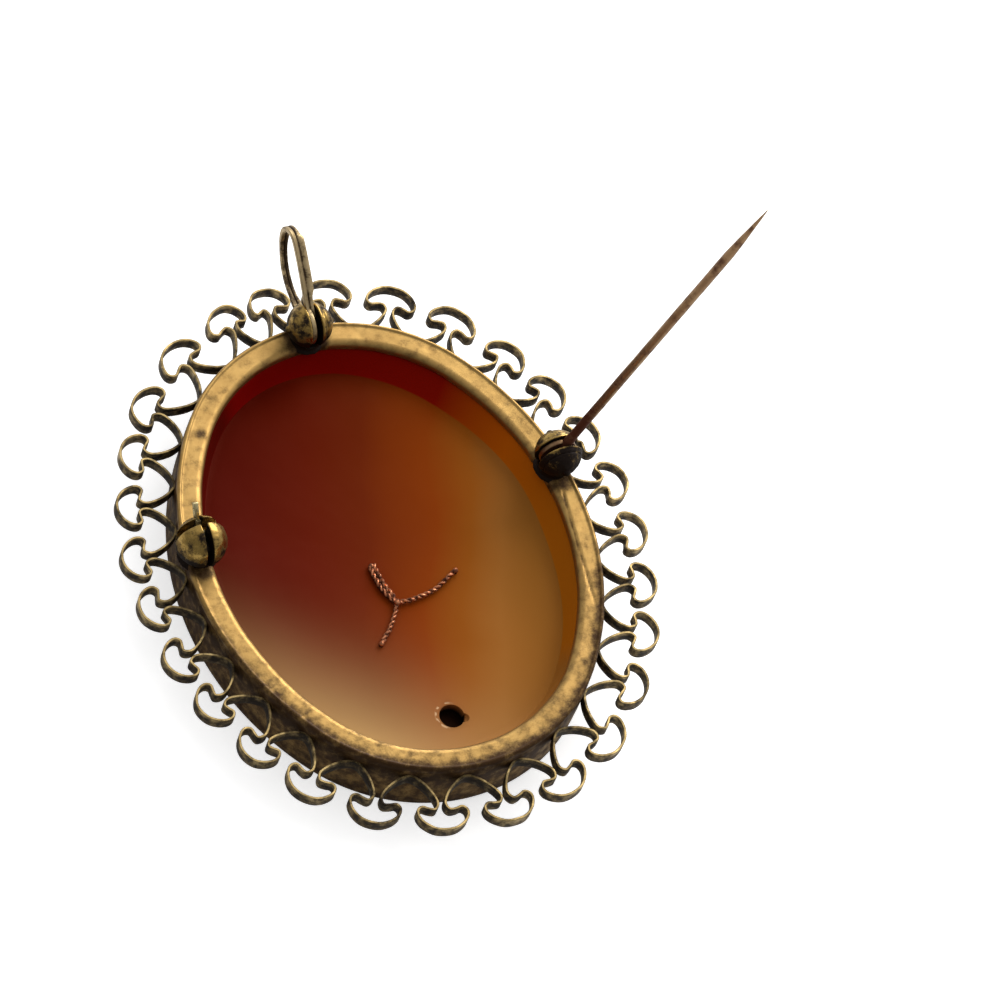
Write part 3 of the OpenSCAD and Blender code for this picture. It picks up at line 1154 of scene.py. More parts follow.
@dataclass
class JointBall:
    """A ball on a soldered foot, split by a slot that a rivet crosses."""

    name: str
    x: float
    y: float
    turn: float
    radius: float
    rise: float = RIVET_RISE
    rivet_r: float = 0.3
    head_r: float = 0.34
    slot_w: float = 0.9
    slot_h: float = 1.72
    tarnish: float = 0.46
    near_side_shade: float = 0.0
    seed: float = 0.0

    def place(self) -> Matrix:
        """Gives the place of the ball's middle."""
        return Matrix.Translation((self.x, self.y, BEZEL_H + self.rise)) @ Matrix.Rotation(self.turn, 4, "Z")

    def build(self) -> Piece:
        """Models the ball about its own middle, with the slot along X and the rivet along Y.

        Returns:
            The piece.
        """
        r = self.radius
        body = ball(r, Vector((0, 0, 0)))
        foot = rod(r * 0.7, self.rise - 0.3, Vector((0, 0, -self.rise / 2)), end_radius=r * 0.66)
        for part in (body, foot):
            cut(part, block(Vector((4 * r, self.slot_w, 3 * r)), Vector((0, 0, 1.5 * r - self.slot_h)), 0.12))
        solder = rod(r * 0.84, 0.5, Vector((0, 0, -self.rise + 0.35)), end_radius=r * 0.62)
        rivet = rod(self.rivet_r, self.slot_w + r, Vector((0, 0, 0)), Axis.Y)
        heads = [ball(self.head_r, Vector((0, side * (r - 0.06), 0)), segments=16) for side in (-1, 1)]
        piece = join(self.name, [body, foot, solder, rivet, *heads])
        fuse(piece)
        nudge(piece, self.hammer)
        keep_grime_and_shade(piece, self.grime_and_shade)
        return piece

    def hammer(self, place: Vector, normal: Vector) -> Vector:
        """Dents the ball a little and draws a crease beside its slot.

        Args:
            place: The vertex's place.
            normal: Its normal.

        Returns:
            The vertex's move.
        """
        away = Vector((self.seed, self.seed * 0.7, 3.0))
        dent = 0.05 * noise.noise(place * 0.9 + away) + 0.02 * noise.noise(place * 3.1 + away)
        skin = smooth_step(place.length, self.radius * 0.93, self.radius)
        crease = hump(place.y, -0.98, 0.055) * smooth_step(place.z, -0.9, -0.4) * skin
        lip = hump(abs(place.y), self.slot_w / 2 + 0.12, 0.09) * smooth_step(place.z, -0.2, 0.4) * skin
        return normal * (dent * skin - 0.09 * crease + 0.05 * lip)

    def grime_and_shade(self, place: Vector) -> float:
        """Judges how dark the ball is at a place: tarnish, with painted shade on its lower half, its near
        side and in its slot, and a painted highlight on the slot's rubbed lips.

        Args:
            place: The place, from the ball's middle.

        Returns:
            The mask, from 0 to 1.
        """
        # Painted shade: darker low down, on the near side and in the slot; the slot's rubbed lips are
        # lightened as a painted highlight.
        low = 1 - smooth_step(place.z, -1.3, 0.8)
        near = self.near_side_shade * smooth_step(-place.y, 0.2, 0.6)
        inside = in_slot(place, abs(place.y), self.slot_w, self.radius)
        lip = hump(abs(place.y), self.slot_w / 2 + 0.1, 0.1) * smooth_step(place.z, -0.4, 0.6)
        return max(0.0, min(1.0, self.tarnish + near + 0.95 * low + 0.7 * inside - 0.34 * lip))


@dataclass
class Catch:
    """The ball catch: a slotted body on the flange, and the ring with its lever that turns in it."""

    y: float = CATCH_Y
    radius: float = 2.1
    rise: float = RIVET_RISE
    slot_w: float = 0.58
    seat_off: float = 0.85
    seat_r: float = 0.4
    ring_r: float = 1.2
    ring_w: float = 0.46
    tab_l: float = 2.6
    tab_t: float = 0.36
    tab_angle: float = 50.0
    ring_steps: int = 66
    mill_depth: float = 0.05

    # Height and fineness of the body's dents
    WAVES = ((0.06, 0.8), (0.02, 2.7))

    @property
    def x(self) -> float:
        """The catch's place across the brooch."""
        return -flange_x(self.y)

    def place(self, off: float = 0.0) -> Matrix:
        """Gives the place of the catch's middle, or of a point off it towards the brooch's top."""
        return Matrix.Translation((self.x, self.y + off, BEZEL_H + self.rise)) @ ON_EDGE

    def build_body(self) -> Piece:
        """Models the catch's body about its own middle.

        Returns:
            The piece.
        """
        r = self.radius
        body = ball(r, Vector((0, 0, 0)))
        foot = rod(r * 0.66, self.rise - 0.75, Vector((0, -(self.rise + 0.45) / 2, 0)), Axis.Y, r * 0.69)
        for part in (body, foot):
            cut(part, rod(self.ring_r + 0.06, self.slot_w, Vector((self.seat_off, 0, 0))))
            cut(part, block(Vector((1.5 * r, 2 * r, self.slot_w)), Vector((-1.25 * r, 0.2 * r, 0)), 0.1))
        cut(body, block(Vector((4 * r, 2 * r, self.slot_w)), Vector((0, 1.2 * r, 0)), 0.1))
        cut(body, rod(self.seat_r, 4 * r, Vector((self.seat_off, 0, 0))))
        cut(body, block(Vector((2 * self.seat_r - 0.04, 2 * r, 4 * r)), Vector((self.seat_off, r, 0))))
        solder = rod(r * 0.8, 0.5, Vector((0, -self.rise + 0.35, 0)), Axis.Y, r * 0.6)
        piece = join("catch_ball", [body, foot, solder])
        fuse(piece)
        nudge(piece, self.hammer)
        keep_grime_and_shade(piece, self.grime_and_shade)
        return piece

    def hammer(self, place: Vector, normal: Vector) -> Vector:
        """Dents the body a little."""
        skin = smooth_step(place.length, self.radius * 0.93, self.radius)
        return normal * ripple(place, self.WAVES) * skin

    def grime_and_shade(self, place: Vector) -> float:
        """Judges how dark the body is at a place: tarnish, with painted shade on its lower part and in its
        slots.

        Args:
            place: The place, from the body's middle.

        Returns:
            The mask, from 0 to 1.
        """
        # Painted shade: darker low down and inside the slot.
        low = 1 - smooth_step(place.y + 0.3 * place.x, -1.9, 0.3)
        inside = in_slot(place, abs(place.z), self.slot_w, self.radius)
        return min(1.0, 0.38 + 0.95 * low + 0.7 * inside)

    def build_ring(self) -> Piece:
        """Models the ring about its own middle, with a milled edge and a lever tab.

        Returns:
            The piece.
        """
        inner, outer = self.seat_r, self.ring_r
        mouth = math.asin((self.seat_r - 0.02) / outer) + 0.03
        half = self.ring_w / 2
        rings = []
        for step in range(self.ring_steps + 1):
            angle = math.pi / 2 + mouth + (2 * math.pi - 2 * mouth) * step / self.ring_steps
            milled = outer - (self.mill_depth if step % 3 == 1 else 0.0)
            out = Vector((math.cos(angle), math.sin(angle), 0))
            section = [
                (inner, -half + 0.05), (inner, half - 0.05), (inner + 0.05, half), (milled - 0.06, half),
                (milled, half - 0.06), (milled, 0.1), (milled - 0.07, 0.03), (milled - 0.07, -0.03),
                (milled, -0.1), (milled, -half + 0.06), (milled - 0.06, -half), (inner + 0.05, -half),
            ]
            rings.append([out * across + Vector((0, 0, along)) for across, along in section])
        ring = loft("ring", rings)
        length = self.tab_l - outer * 0.75
        tab = block(Vector((length, self.tab_t, self.ring_w)), Vector((outer * 0.75 + length / 2, 0, 0)), 0.1)
        tab.data.transform(Matrix.Translation(tab.location))
        tab.location = (0, 0, 0)
        tab.data.transform(Matrix.Rotation(math.radians(self.tab_angle), 4, "Z"))
        piece = join("catch_ring_c", [ring, tab])
        modify(piece, "BEVEL", width=0.02, segments=2, limit_method="ANGLE", angle_limit=math.radians(50))
        # Lighter towards the tab's end, a painted highlight where it stands up into the light.
        keep_grime_and_shade(piece, lambda place: 0.5 - 0.35 * smooth_step(place.length, 1.2, 2.2))
        return piece


@dataclass
class Pin:
    """The long pin wire, swung open on its rivet."""

    x: float
    y: float
    turn: float
    open_angle: float = 106.4
    wire_r: float = 0.385
    shank_r: float = 0.42
    shank_l: float = 2.4
    length: float = 34.5
    tip_l: float = 6.0
    point_r: float = 0.04
    wire_steps: int = 40
    tip_steps: int = 12

    def place(self) -> Matrix:
        """Gives the place of the rivet, with the wire along X."""
        return (Matrix.Translation((self.x, self.y, BEZEL_H + RIVET_RISE))
                @ Matrix.Rotation(math.pi - self.turn, 4, "Z")
                @ Matrix.Rotation(-math.radians(self.open_angle), 4, "Y"))

    def build(self) -> Piece:
        """Models the wire along X, from its eye to its tip.

        Returns:
            The piece.
        """
        stations = [(0.3, self.shank_r * 0.9), (0.9, self.shank_r), (self.shank_l - 0.15, self.shank_r),
                    (self.shank_l, self.shank_r - 0.01), (self.shank_l + 0.12, self.wire_r)]
        start = self.shank_l + 0.4
        taper = self.length - self.tip_l
        for step in range(self.wire_steps + 1):
            stations.append((start + (taper - start) * step / self.wire_steps, self.wire_r))
        for step in range(1, self.tip_steps + 1):
            share = step / self.tip_steps
            radius = self.wire_r + (self.point_r - self.wire_r) * share ** 1.15
            stations.append((taper + self.tip_l * share, radius))
        line = [Vector((x, 0, 0)) for x, _ in stations]
        wire = tube("wire", line, [radius for _, radius in stations], sides=24)
        nudge(wire, lambda place, normal: normal * 0.012 * noise.noise(place * 0.8))
        keep_grime_and_shade(wire, self.grime_and_shade)
        return join("pin_wire", [Eye(Axis.Y).build(), wire])

    def grime_and_shade(self, place: Vector) -> float:
        """Judges how dark the wire is at a place: redder and darker near its joint."""
        return 0.6 + 0.25 * hump(place.x, 4.0, 2.5) - 0.3 * smooth_step(place.x, 3.0, 12.0)


@dataclass
class BailLoop:
    """The bail: a strip bent to a loop, split into two strands on its near leg."""

    y: float = BAIL_Y
    length: float = 8.3
    width: float = 4.6
    strip_w: float = 0.76
    strip_t: float = 0.42
    groove: float = 0.09
    lift: float = 24.4

    # The loop's line: share of the length, and share of the width towards its left strand
    LINE = (
        (0.060, 0.120), (0.200, 0.210), (0.400, 0.300), (0.620, 0.370), (0.840, 0.400), (0.940, 0.270),
        (0.975, 0.030), (0.900, -0.230), (0.780, -0.420), (0.620, -0.550), (0.430, -0.550), (0.260, -0.420),
        (0.110, -0.240),
    )

    def place(self) -> Matrix:
        """Gives the place of the rivet, with the loop along X and the rivet along Z."""
        return (Matrix.Translation((0, self.y, BEZEL_H + RIVET_RISE))
                @ Matrix.Rotation(math.radians(self.lift), 4, "X") @ ON_EDGE)

    def build(self) -> Piece:
        """Models the loop about its rivet.

        Returns:
            The piece.
        """
        points = [Vector((x * self.length, y * self.width, 0)) for x, y in self.LINE]
        line = closed_curve(points, steps=8)
        sides = sideways(line)
        half_t = self.strip_t / 2
        half_w = self.strip_w / 2
        groove = self.groove
        half = [
            (-half_t, -half_w + 0.06), (-half_t, -groove), (-half_t + groove, -0.02),
            (-half_t + groove, 0.02), (-half_t, groove), (-half_t, half_w - 0.06),
            (-half_t + 0.06, half_w), (half_t - 0.06, half_w),
        ]
        section = half + [(-across, -along) for across, along in half]
        rings = [[place + side * across + Vector((0, 0, along * self.breadth(place, along)))
                  for place, side in zip(line, sides)] for across, along in section]
        strip = loft("strip", rings, closed=True)
        keep_grime_and_shade(strip, self.grime_and_shade)
        return join("bail_loop", [Eye(Axis.Z).build(), strip])

    def breadth(self, place: Vector, along: float) -> float:
        """Judges how broad the strip is, since its near leg takes a second strand that ends below the tip.

        Args:
            place: A place on the strip's line.
            along: The section point's place across the strip's width.

        Returns:
            The breadth as a share of the usual one.
        """
        free = smooth_step(place.x, 2.1, 2.8)
        if place.y > 0:
            below_tip = 1 - smooth_step(place.x, 0.84 * self.length, 0.89 * self.length)
            return 1 + 0.55 * free * below_tip * (along > 0)
        return 1 - 0.2 * free * (1 - smooth_step(place.x, 0.8 * self.length, 0.95 * self.length))

    def grime_and_shade(self, place: Vector) -> float:
        """Judges how dark the strip is at a place: painted shade in the groove between its strands and
        towards the leg without the second strand.
        """
        # Painted shade in the groove and on the leg without the second strand.
        groove = hump(place.z, 0.04, 0.07)
        return min(1.0, 0.5 - 0.26 * smooth_step(place.y, -2.0, 1.4) + 0.55 * groove)


@dataclass
class Shell:
    """The cameo's shell: a hollow back with a steep edge, a shallow bowl and a drilled hole."""

    top: float = 4.89
    seat_out: float = 1.6
    edge_w: float = 1.3
    edge_h: float = 1.7
    bowl_r: float = 120.0
    blend: float = 0.2
    dome_r: float = 300.0
    lip_h: float = 1.66
    lip_in: float = 0.85
    drill_r: float = 1.05
    drill_y: float = -15.1
    drill_h: float = 0.9
    chip_r: float = 0.42
    places: int = 240
    floor_rings: int = 30
    front_rings: int = 16
    pole: float = 0.012

    # Height and fineness of the waves that the hollowing wheel leaves
    WAVES = ((0.05, 0.22), (0.012, 0.9))

    @property
    def foot_z(self) -> float:
        """Height of the hollow's floor at the foot of its steep edge."""
        return self.top - self.edge_h

    def floor_z(self, x: float, y: float) -> float:
        """Finds the height of the hollow's floor.

        Args:
            x: The place across.
            y: The place along.

        Returns:
            The height.
        """
        rim = OVAL.width / 2 - self.edge_w
        middle = self.foot_z + math.sqrt(self.bowl_r ** 2 - rim ** 2)
        bowl = middle - math.sqrt(self.bowl_r ** 2 - x * x - y * y)
        gap = self.foot_z - bowl
        if gap < -self.blend:
            return self.foot_z
        return bowl - max(0.0, self.blend - gap) ** 2 / (4 * self.blend)

    def build(self) -> Piece:
        """Models the shell from its seat over the hollow's floor, then its front.

        Returns:
            The piece.
        """
        top = self.top
        section = [
            (self.lip_in - 0.1, self.lip_h), (self.seat_out, self.lip_h), (self.seat_out, top - 0.06),
            (self.seat_out - 0.06, top), (0.25, top), (0.1, top - 0.02), (0.0, top - 0.12),
            (-0.2, top - 0.36), (-0.5, 4.16), (-0.8, 3.8), (-1.05, 3.5), (-1.22, 3.31),
            (-1.32, 3.22), (-1.4, 3.19), (-1.55, 3.17),
        ]
        rings = OVAL.around(section, self.places)
        for ring, (out, _) in zip(rings, section):
            for point in ring:
                point += OVAL.outwards(point) * (min(0.0, out) * (self.spread(point) - 1))
        foot = rings[-1]
        floor = [1 - step / self.floor_rings for step in range(1, self.floor_rings)] + [self.pole]
        for share in floor:
            ring = [Vector((p.x * share, p.y * share, self.floor_z(p.x * share, p.y * share))) for p in foot]
            rings.append(ring)
        front = OVAL.around([(self.lip_in - 0.1, 0.0)], self.places)[0]
        lower = []
        for share in [self.pole] + [step / self.front_rings for step in range(1, self.front_rings + 1)]:
            ring = [Vector((p.x * share, p.y * share, 0)) for p in front]
            for point in ring:
                point.z = GROUND_Z + self.dome_r - math.sqrt(self.dome_r ** 2 - point.length_squared)
            lower.append(ring)
        piece = loft("cameo_shell", lower + rings)
        nudge(piece, self.carve)
        bottom = self.foot_z - self.drill_h
        cut(piece, rod(self.drill_r, 3.0, Vector((0, self.drill_y, bottom + 1.5))))
        cut(piece, ball(self.chip_r, Vector((0.95, self.drill_y - 0.42, self.foot_z + 0.05)), segments=16))
        keep_grime_and_shade(piece, self.grime_and_shade)
        return piece

    def spread(self, place: Vector) -> float:
        """Judges how wide the hollow's steep edge is, since it was ground by hand."""
        angle = math.degrees(math.atan2(place.y, place.x))
        return 0.45 + 0.85 * hump(angle, 60, 38) + 0.45 * hump(angle, -8, 28)

    def carve(self, place: Vector, normal: Vector) -> Vector:
        """Leaves the faint waves of the hollowing wheel in the floor."""
        inside = smooth_step(-OVAL.out_of(place), 0.2, 1.5) * smooth_step(place.z, 1.9, 2.2)
        return normal * inside * ripple(place, self.WAVES)

    def grime_and_shade(self, place: Vector) -> float:
        """Judges how dark the shell is at a place: only the drilled hole is, painted black as shade.

        Args:
            place: The place.

        Returns:
            The mask, from 0 to 1.
        """
        off = math.hypot(place.x, place.y - self.drill_y)
        inside = 1 - smooth_step(off, self.drill_r + 0.03, self.drill_r + 0.12)
        behind = smooth_step(place.z, self.foot_z - self.drill_h - 0.3, self.foot_z - self.drill_h - 0.1)
        return inside * behind * (1 - smooth_step(place.z, self.foot_z - 0.2, self.foot_z + 0.05))


@dataclass
class Carving:
    """The cream layer in front: a bust in profile, carved in low relief.

    The outlines are shares of the head's height, ahead of the ear and above the chin.
    """

    head_h: float = 12.0
    chin_y: float = 2.0
    wide: float = 18.0
    tall: float = 28.6
    relief: float = 1.03
    sunk: float = 0.05
    thick: float = 0.2
    cell: float = 0.09

    HEAD = (
        (-0.04, 1.00), (0.17, 0.975), (0.31, 0.89), (0.385, 0.78), (0.41, 0.68), (0.408, 0.605),
        (0.385, 0.545), (0.425, 0.465), (0.488, 0.372), (0.484, 0.335), (0.418, 0.305), (0.420, 0.27),
        (0.440, 0.237), (0.405, 0.206), (0.425, 0.172), (0.382, 0.128), (0.390, 0.07), (0.350, 0.010),
        (0.265, -0.008), (0.165, 0.03), (0.130, -0.08), (0.135, -0.26), (0.15, -0.50), (-0.10, -0.62),
        (-0.28, -0.45), (-0.29, -0.20), (-0.27, 0.02), (-0.38, 0.30), (-0.43, 0.62), (-0.29, 0.91),
    )
    BUST = (
        (0.05, -0.16), (0.14, -0.30), (0.25, -0.40), (0.40, -0.53), (0.49, -0.70), (0.45, -0.87),
        (0.28, -1.00), (0.02, -1.08), (-0.26, -1.07), (-0.52, -0.98), (-0.72, -0.83), (-0.81, -0.64),
        (-0.76, -0.47), (-0.60, -0.36), (-0.43, -0.27), (-0.31, -0.18), (-0.20, -0.10),
    )
    HAIR = (
        (0.335, 0.86), (0.22, 1.00), (0.02, 1.07), (-0.20, 1.05), (-0.40, 0.93), (-0.51, 0.74),
        (-0.62, 0.62), (-0.75, 0.46), (-0.70, 0.27), (-0.52, 0.20), (-0.38, 0.22), (-0.27, 0.10),
        (-0.17, 0.16), (-0.10, 0.33), (-0.04, 0.49), (0.09, 0.53), (0.19, 0.62), (0.26, 0.74),
    )
    CURLS = (
        (0.305, 0.825, 0.050), (0.262, 0.735, 0.058), (0.210, 0.640, 0.060), (0.135, 0.560, 0.058),
        (-0.165, 0.115, 0.056), (-0.185, 0.020, 0.052), (-0.180, -0.070, 0.046), (-0.160, -0.150, 0.038),
    )
    # Ahead, above, length, height, lean in degrees and rise of the face's soft forms
    FEATURES = (
        (0.345, 0.520, 0.060, 0.045, -8, -0.11), (0.345, 0.498, 0.032, 0.020, -8, 0.11),
        (0.340, 0.523, 0.045, 0.009, -14, 0.08), (0.338, 0.475, 0.035, 0.008, 6, 0.05),
        (0.360, 0.592, 0.075, 0.018, 6, 0.09), (0.240, 0.350, 0.120, 0.100, 20, 0.08),
        (0.430, 0.338, 0.030, 0.026, 0, 0.10), (0.450, 0.320, 0.016, 0.008, -10, -0.10),
        (0.392, 0.206, 0.045, 0.007, -6, -0.14), (0.405, 0.229, 0.040, 0.013, -10, 0.06),
        (0.395, 0.178, 0.035, 0.015, 4, 0.06), (0.362, 0.270, 0.014, 0.055, 20, -0.05),
        (0.352, 0.060, 0.055, 0.050, 0, 0.08), (0.170, 0.000, 0.170, 0.030, -27, -0.15),
        (0.005, 0.405, 0.045, 0.080, 12, 0.17), (0.018, 0.415, 0.022, 0.045, 12, -0.18),
        (0.000, -0.080, 0.230, 0.035, -66, 0.06), (0.060, -0.400, 0.160, 0.022, 16, 0.05),
    )
    KNOT = (-0.58, 0.42)
    KNOT_R = 0.17
    BUTTON = (-0.44, -0.50)
    BUTTON_R = 0.055
    # The middle of the raised cells
    MIDDLE = (-0.16, -0.04)

    def inside(self, xs: np.ndarray, ys: np.ndarray, outline: Sequence[tuple[float, float]]) -> np.ndarray:
        """Measures how deep places lie inside an outline.

        Args:
            xs: The places ahead of the ear, as shares.
            ys: The places above the chin, as shares.
            outline: The outline's points.

        Returns:
            The distance to the outline, less than 0 outside.
        """
        line = closed_curve([Vector((x, y, 0)) for x, y in outline], steps=5)
        nearest = np.full(xs.shape, 1e9)
        within = np.zeros(xs.shape, dtype=bool)
        for start, end in zip(line, line[1:] + line[:1]):
            dx, dy = end.x - start.x, end.y - start.y
            share = np.clip(((xs - start.x) * dx + (ys - start.y) * dy) / (dx * dx + dy * dy + 1e-12), 0, 1)
            nearest = np.minimum(nearest, np.hypot(xs - start.x - share * dx, ys - start.y - share * dy))
            crosses = (start.y > ys) != (end.y > ys)
            if dy:
                within ^= crosses & (xs < start.x + (ys - start.y) * dx / dy)
        return np.where(within, nearest, -nearest)

    def swell(self, depth: np.ndarray, width: float) -> np.ndarray:
        """Rounds a form up from its outline, from 0 to 1, until it is fully raised a width inside it."""
        return np.sqrt(1 - (1 - np.clip(depth / width, 0, 1)) ** 2)

    def height(self, xs: np.ndarray, ys: np.ndarray) -> np.ndarray:
        """Finds the relief's height over the ground.

        Args:
            xs: The places ahead of the ear, as shares.
            ys: The places above the chin, as shares.

        Returns:
            The heights as shares of the relief's height, with 0 outside the figure.
        """
        top = np.maximum(np.maximum(self.face(xs, ys), self.bust(xs, ys)), self.hair(xs, ys))
        for ahead, above, radius in self.CURLS:
            off = np.hypot(xs - ahead, ys - above) / radius
            turn = np.arctan2(ys - above, xs - ahead)
            curl = 0.58 + 0.34 * self.dome(off) + 0.06 * np.sin(9 * off - 2 * turn)
            top = np.where(off < 1, np.maximum(top, curl), top)
        turn, off = self.about(xs, ys, self.KNOT)
        knot = off / self.KNOT_R
        bun = 0.62 + 0.3 * self.dome(knot) + 0.045 * np.sin(4 * turn + 16 * knot)
        top = np.where(knot < 1, np.maximum(top, bun), top)
        _, off = self.about(xs, ys, self.BUTTON)
        return np.clip(top + 0.16 * self.dome(off / self.BUTTON_R), 0, 1)

    def dome(self, off: np.ndarray) -> np.ndarray:
        """Rounds up a knob, from its middle to where the shares reach 1."""
        return np.sqrt(np.clip(1 - off ** 2, 0, 1))

    def about(
        self, xs: np.ndarray, ys: np.ndarray, middle: tuple[float, float],
    ) -> tuple[np.ndarray, np.ndarray]:
        """Finds the direction and distance of places from a point."""
        aside, above = xs - middle[0], ys - middle[1]
        return np.arctan2(above, aside), np.hypot(aside, above)

    def face(self, xs: np.ndarray, ys: np.ndarray) -> np.ndarray:
        """Finds the height of the head, with the soft forms of its face and ear.

        Args:
            xs: The places ahead of the ear, as shares.
            ys: The places above the chin, as shares.

        Returns:
            The heights as shares of the relief's height.
        """
        head = self.inside(xs, ys, self.HEAD)
        face = 0.42 * self.swell(head, 0.05) + 0.34 * self.swell(head, 0.34)
        for ahead, above, long, tall, lean, rise in self.FEATURES:
            turn = math.radians(lean)
            u = (xs - ahead) * math.cos(turn) + (ys - above) * math.sin(turn)
            v = (ys - above) * math.cos(turn) - (xs - ahead) * math.sin(turn)
            face = face + np.where(head > 0, rise * np.exp(-(u / long) ** 2 - (v / tall) ** 2), 0)
        return face * (0.74 + 0.26 * np.clip((ys + 0.5) / 0.45, 0, 1))

    def bust(self, xs: np.ndarray, ys: np.ndarray) -> np.ndarray:
        """Finds the height of the bust: a bare chest, and below its hem a drape gathered at the button.

        Args:
            xs: The places ahead of the ear, as shares.
            ys: The places above the chin, as shares.

        Returns:
            The heights as shares of the relief's height.
        """
        bust = self.inside(xs, ys, self.BUST)
        gather, spread = self.about(xs, ys, self.BUTTON)
        folds = np.abs(np.sin(10 * (gather + 0.3 * np.sin(4 * spread)))) ** 0.7
        fall = np.clip(spread / 0.25, 0, 1)
        hem = ys + 0.60 - 0.30 * np.abs(xs + 0.05)
        drape = self.swell(bust, 0.05) * (0.46 + 0.15 * folds * fall) + 0.14 * self.swell(bust, 0.4)
        drape = drape + 0.08 * np.exp(-((hem + 0.03) / 0.022) ** 2)
        chest = 0.40 * self.swell(bust, 0.05) + 0.16 * self.swell(bust, 0.3)
        return np.where(bust > 0, np.where(hem < 0, drape, chest), 0)

    def hair(self, xs: np.ndarray, ys: np.ndarray) -> np.ndarray:
        """Finds the height of the hair, combed in strands towards the knot.

        Args:
            xs: The places ahead of the ear, as shares.
            ys: The places above the chin, as shares.

        Returns:
            The heights as shares of the relief's height.
        """
        hair = self.inside(xs, ys, self.HAIR)
        comb, reach = self.about(xs, ys, self.KNOT)
        lock = comb + 0.07 * np.sin(15 * reach)
        strands = 0.045 * np.sin(62 * lock) + 0.05 * np.sin(23 * lock + 1)
        locks = 0.48 * self.swell(hair, 0.05) + 0.36 * self.swell(hair, 0.3) + np.where(hair > 0, strands, 0)
        return locks * 1.02

    def build(self) -> Piece:
        """Models the figure as raised cells over its outline, closed behind.

        Returns:
            The piece.
        """
        deselect()
        bpy.ops.mesh.primitive_grid_add(
            x_subdivisions=int(self.wide / self.cell), y_subdivisions=int(self.tall / self.cell), size=1.0)
        piece = bpy.context.object
        piece.name = "cameo_carving"
        count = len(piece.data.vertices)
        flat = np.empty(count * 3)
        piece.data.vertices.foreach_get("co", flat)
        points = flat.reshape(count, 3)
        xs = points[:, 0] * self.wide / self.head_h + self.MIDDLE[0]
        ys = points[:, 1] * self.tall / self.head_h + self.MIDDLE[1]
        heights = self.height(xs, ys)
        points[:, 0] = -xs * self.head_h
        points[:, 1] = ys * self.head_h + self.chin_y
        points[:, 2] = GROUND_Z + self.sunk - heights * (self.relief + self.sunk)
        piece.data.vertices.foreach_set("co", points.ravel())
        with editing(piece):
            mesh = bmesh.from_edit_mesh(piece.data)
            bpy.ops.mesh.select_all(action="DESELECT")
            for face in mesh.faces:
                face.select = all(heights[vertex.index] <= 0.001 for vertex in face.verts)
            bmesh.update_edit_mesh(piece.data)
            bpy.ops.mesh.delete(type="FACE")
            bpy.ops.mesh.select_all(action="SELECT")
            bpy.ops.mesh.extrude_region_move()
            mesh = bmesh.from_edit_mesh(piece.data)
            for vertex in mesh.verts:
                if vertex.select:
                    vertex.co.z = GROUND_Z + self.sunk + self.thick
            bmesh.update_edit_mesh(piece.data)
            bpy.ops.mesh.select_all(action="SELECT")
            bpy.ops.mesh.normals_make_consistent(inside=False)
        return piece


@dataclass
class WireTie:
    """The copper coloured tie in the hollow: twisted wires from one knot to three holes."""

    shell: Shell
    strand_r: float = 0.108
    half_turn: float = 0.52
    pace: float = 0.07
    knot_r: float = 0.3
    loop_r: float = 0.24
    stem_r: float = 0.2
    bead_r: float = 0.42
    bead_z: float = 0.54

    MIDDLE = (-0.4, -4.0)
    ENDS = ((-1.2, -0.2), (5.4, -2.4), (-3.1, -7.3))

    def floor(self, x: float, y: float, lift: float) -> Vector:
        """Finds the place at a lift over the hollow's floor."""
        return Vector((x, y, self.shell.floor_z(x, y) + lift))

    def leg(self, end: tuple[float, float], sway: float, phase: float, lean: float = 0.0) -> list[Piece]:
        """Models one leg of two twisted strands.

        Args:
            end: The leg's far end.
            sway: How far the leg bows sideways.
            phase: Where its twist starts.
            lean: A sideways shift, for a leg that lies beside another.

        Returns:
            The strands.
        """
        start = Vector((*self.MIDDLE, 0))
        way = Vector((*end, 0)) - start
        side = Vector((-way.y, way.x, 0)).normalized()
        count = int(way.length / self.pace)
        strands = []
        for strand in (0, 1):
            line = []
            for step in range(count + 1):
                share = step / count
                bow = sway * math.sin(math.pi * share) + lean * min(1, 4 * share)
                flat = start + way * share + side * bow
                flat += side * (0.06 * noise.noise(Vector((share * 7, phase, 0))))
                angle = phase + math.pi * (share * way.length / self.half_turn + strand)
                middle = self.floor(flat.x, flat.y, 0.05 + 2 * self.strand_r)
                line.append(middle + side * (self.strand_r * math.cos(angle))
                            + Vector((0, 0, self.strand_r * math.sin(angle))))
            strands.append(tube(f"strand_{strand}", line, [self.strand_r] * len(line), sides=8))
        return strands

    def build(self) -> Piece:
        """Models the whole tie.

        Returns:
            The piece.
        """
        upper, right, lower = self.ENDS
        parts = self.leg(upper, sway=0.25, phase=0.0, lean=0.16)
        parts += self.leg(upper, sway=0.2, phase=1.3, lean=-0.2)
        parts += self.leg(right, sway=-0.55, phase=0.6)
        parts += self.leg(lower, sway=0.2, phase=2.0)
        parts.append(ball(self.knot_r, self.floor(*self.MIDDLE, lift=0.37), segments=16))
        for end in self.ENDS:
            bend = self.floor(*end, self.loop_r)
            low = Vector((*end, self.bead_z))
            parts.append(ball(self.loop_r, bend, segments=16))
            parts.append(tube("stem", [bend, (bend + low) / 2, low], [self.stem_r] * 3))
            parts.append(ball(self.bead_r, low, segments=24))
        piece = join("tie_wires", parts)
        keep_grime_and_shade(piece, self.grime_and_shade)
        return piece

    def grime_and_shade(self, place: Vector) -> float:
        """Judges how dark the wires are at a place: darker low down by the floor and between the twists,
        painted shade.

        Args:
            place: The place.

        Returns:
            The mask, from 0 to 1.
        """
        if place.z < self.bead_z + self.bead_r + 0.1:
            return 0.2
        # Painted shade: the wires darken towards the floor under them.
        return 0.94 - 0.5 * smooth_step(place.z - self.shell.floor_z(place.x, place.y), 0.1, 0.36)


# Finishes


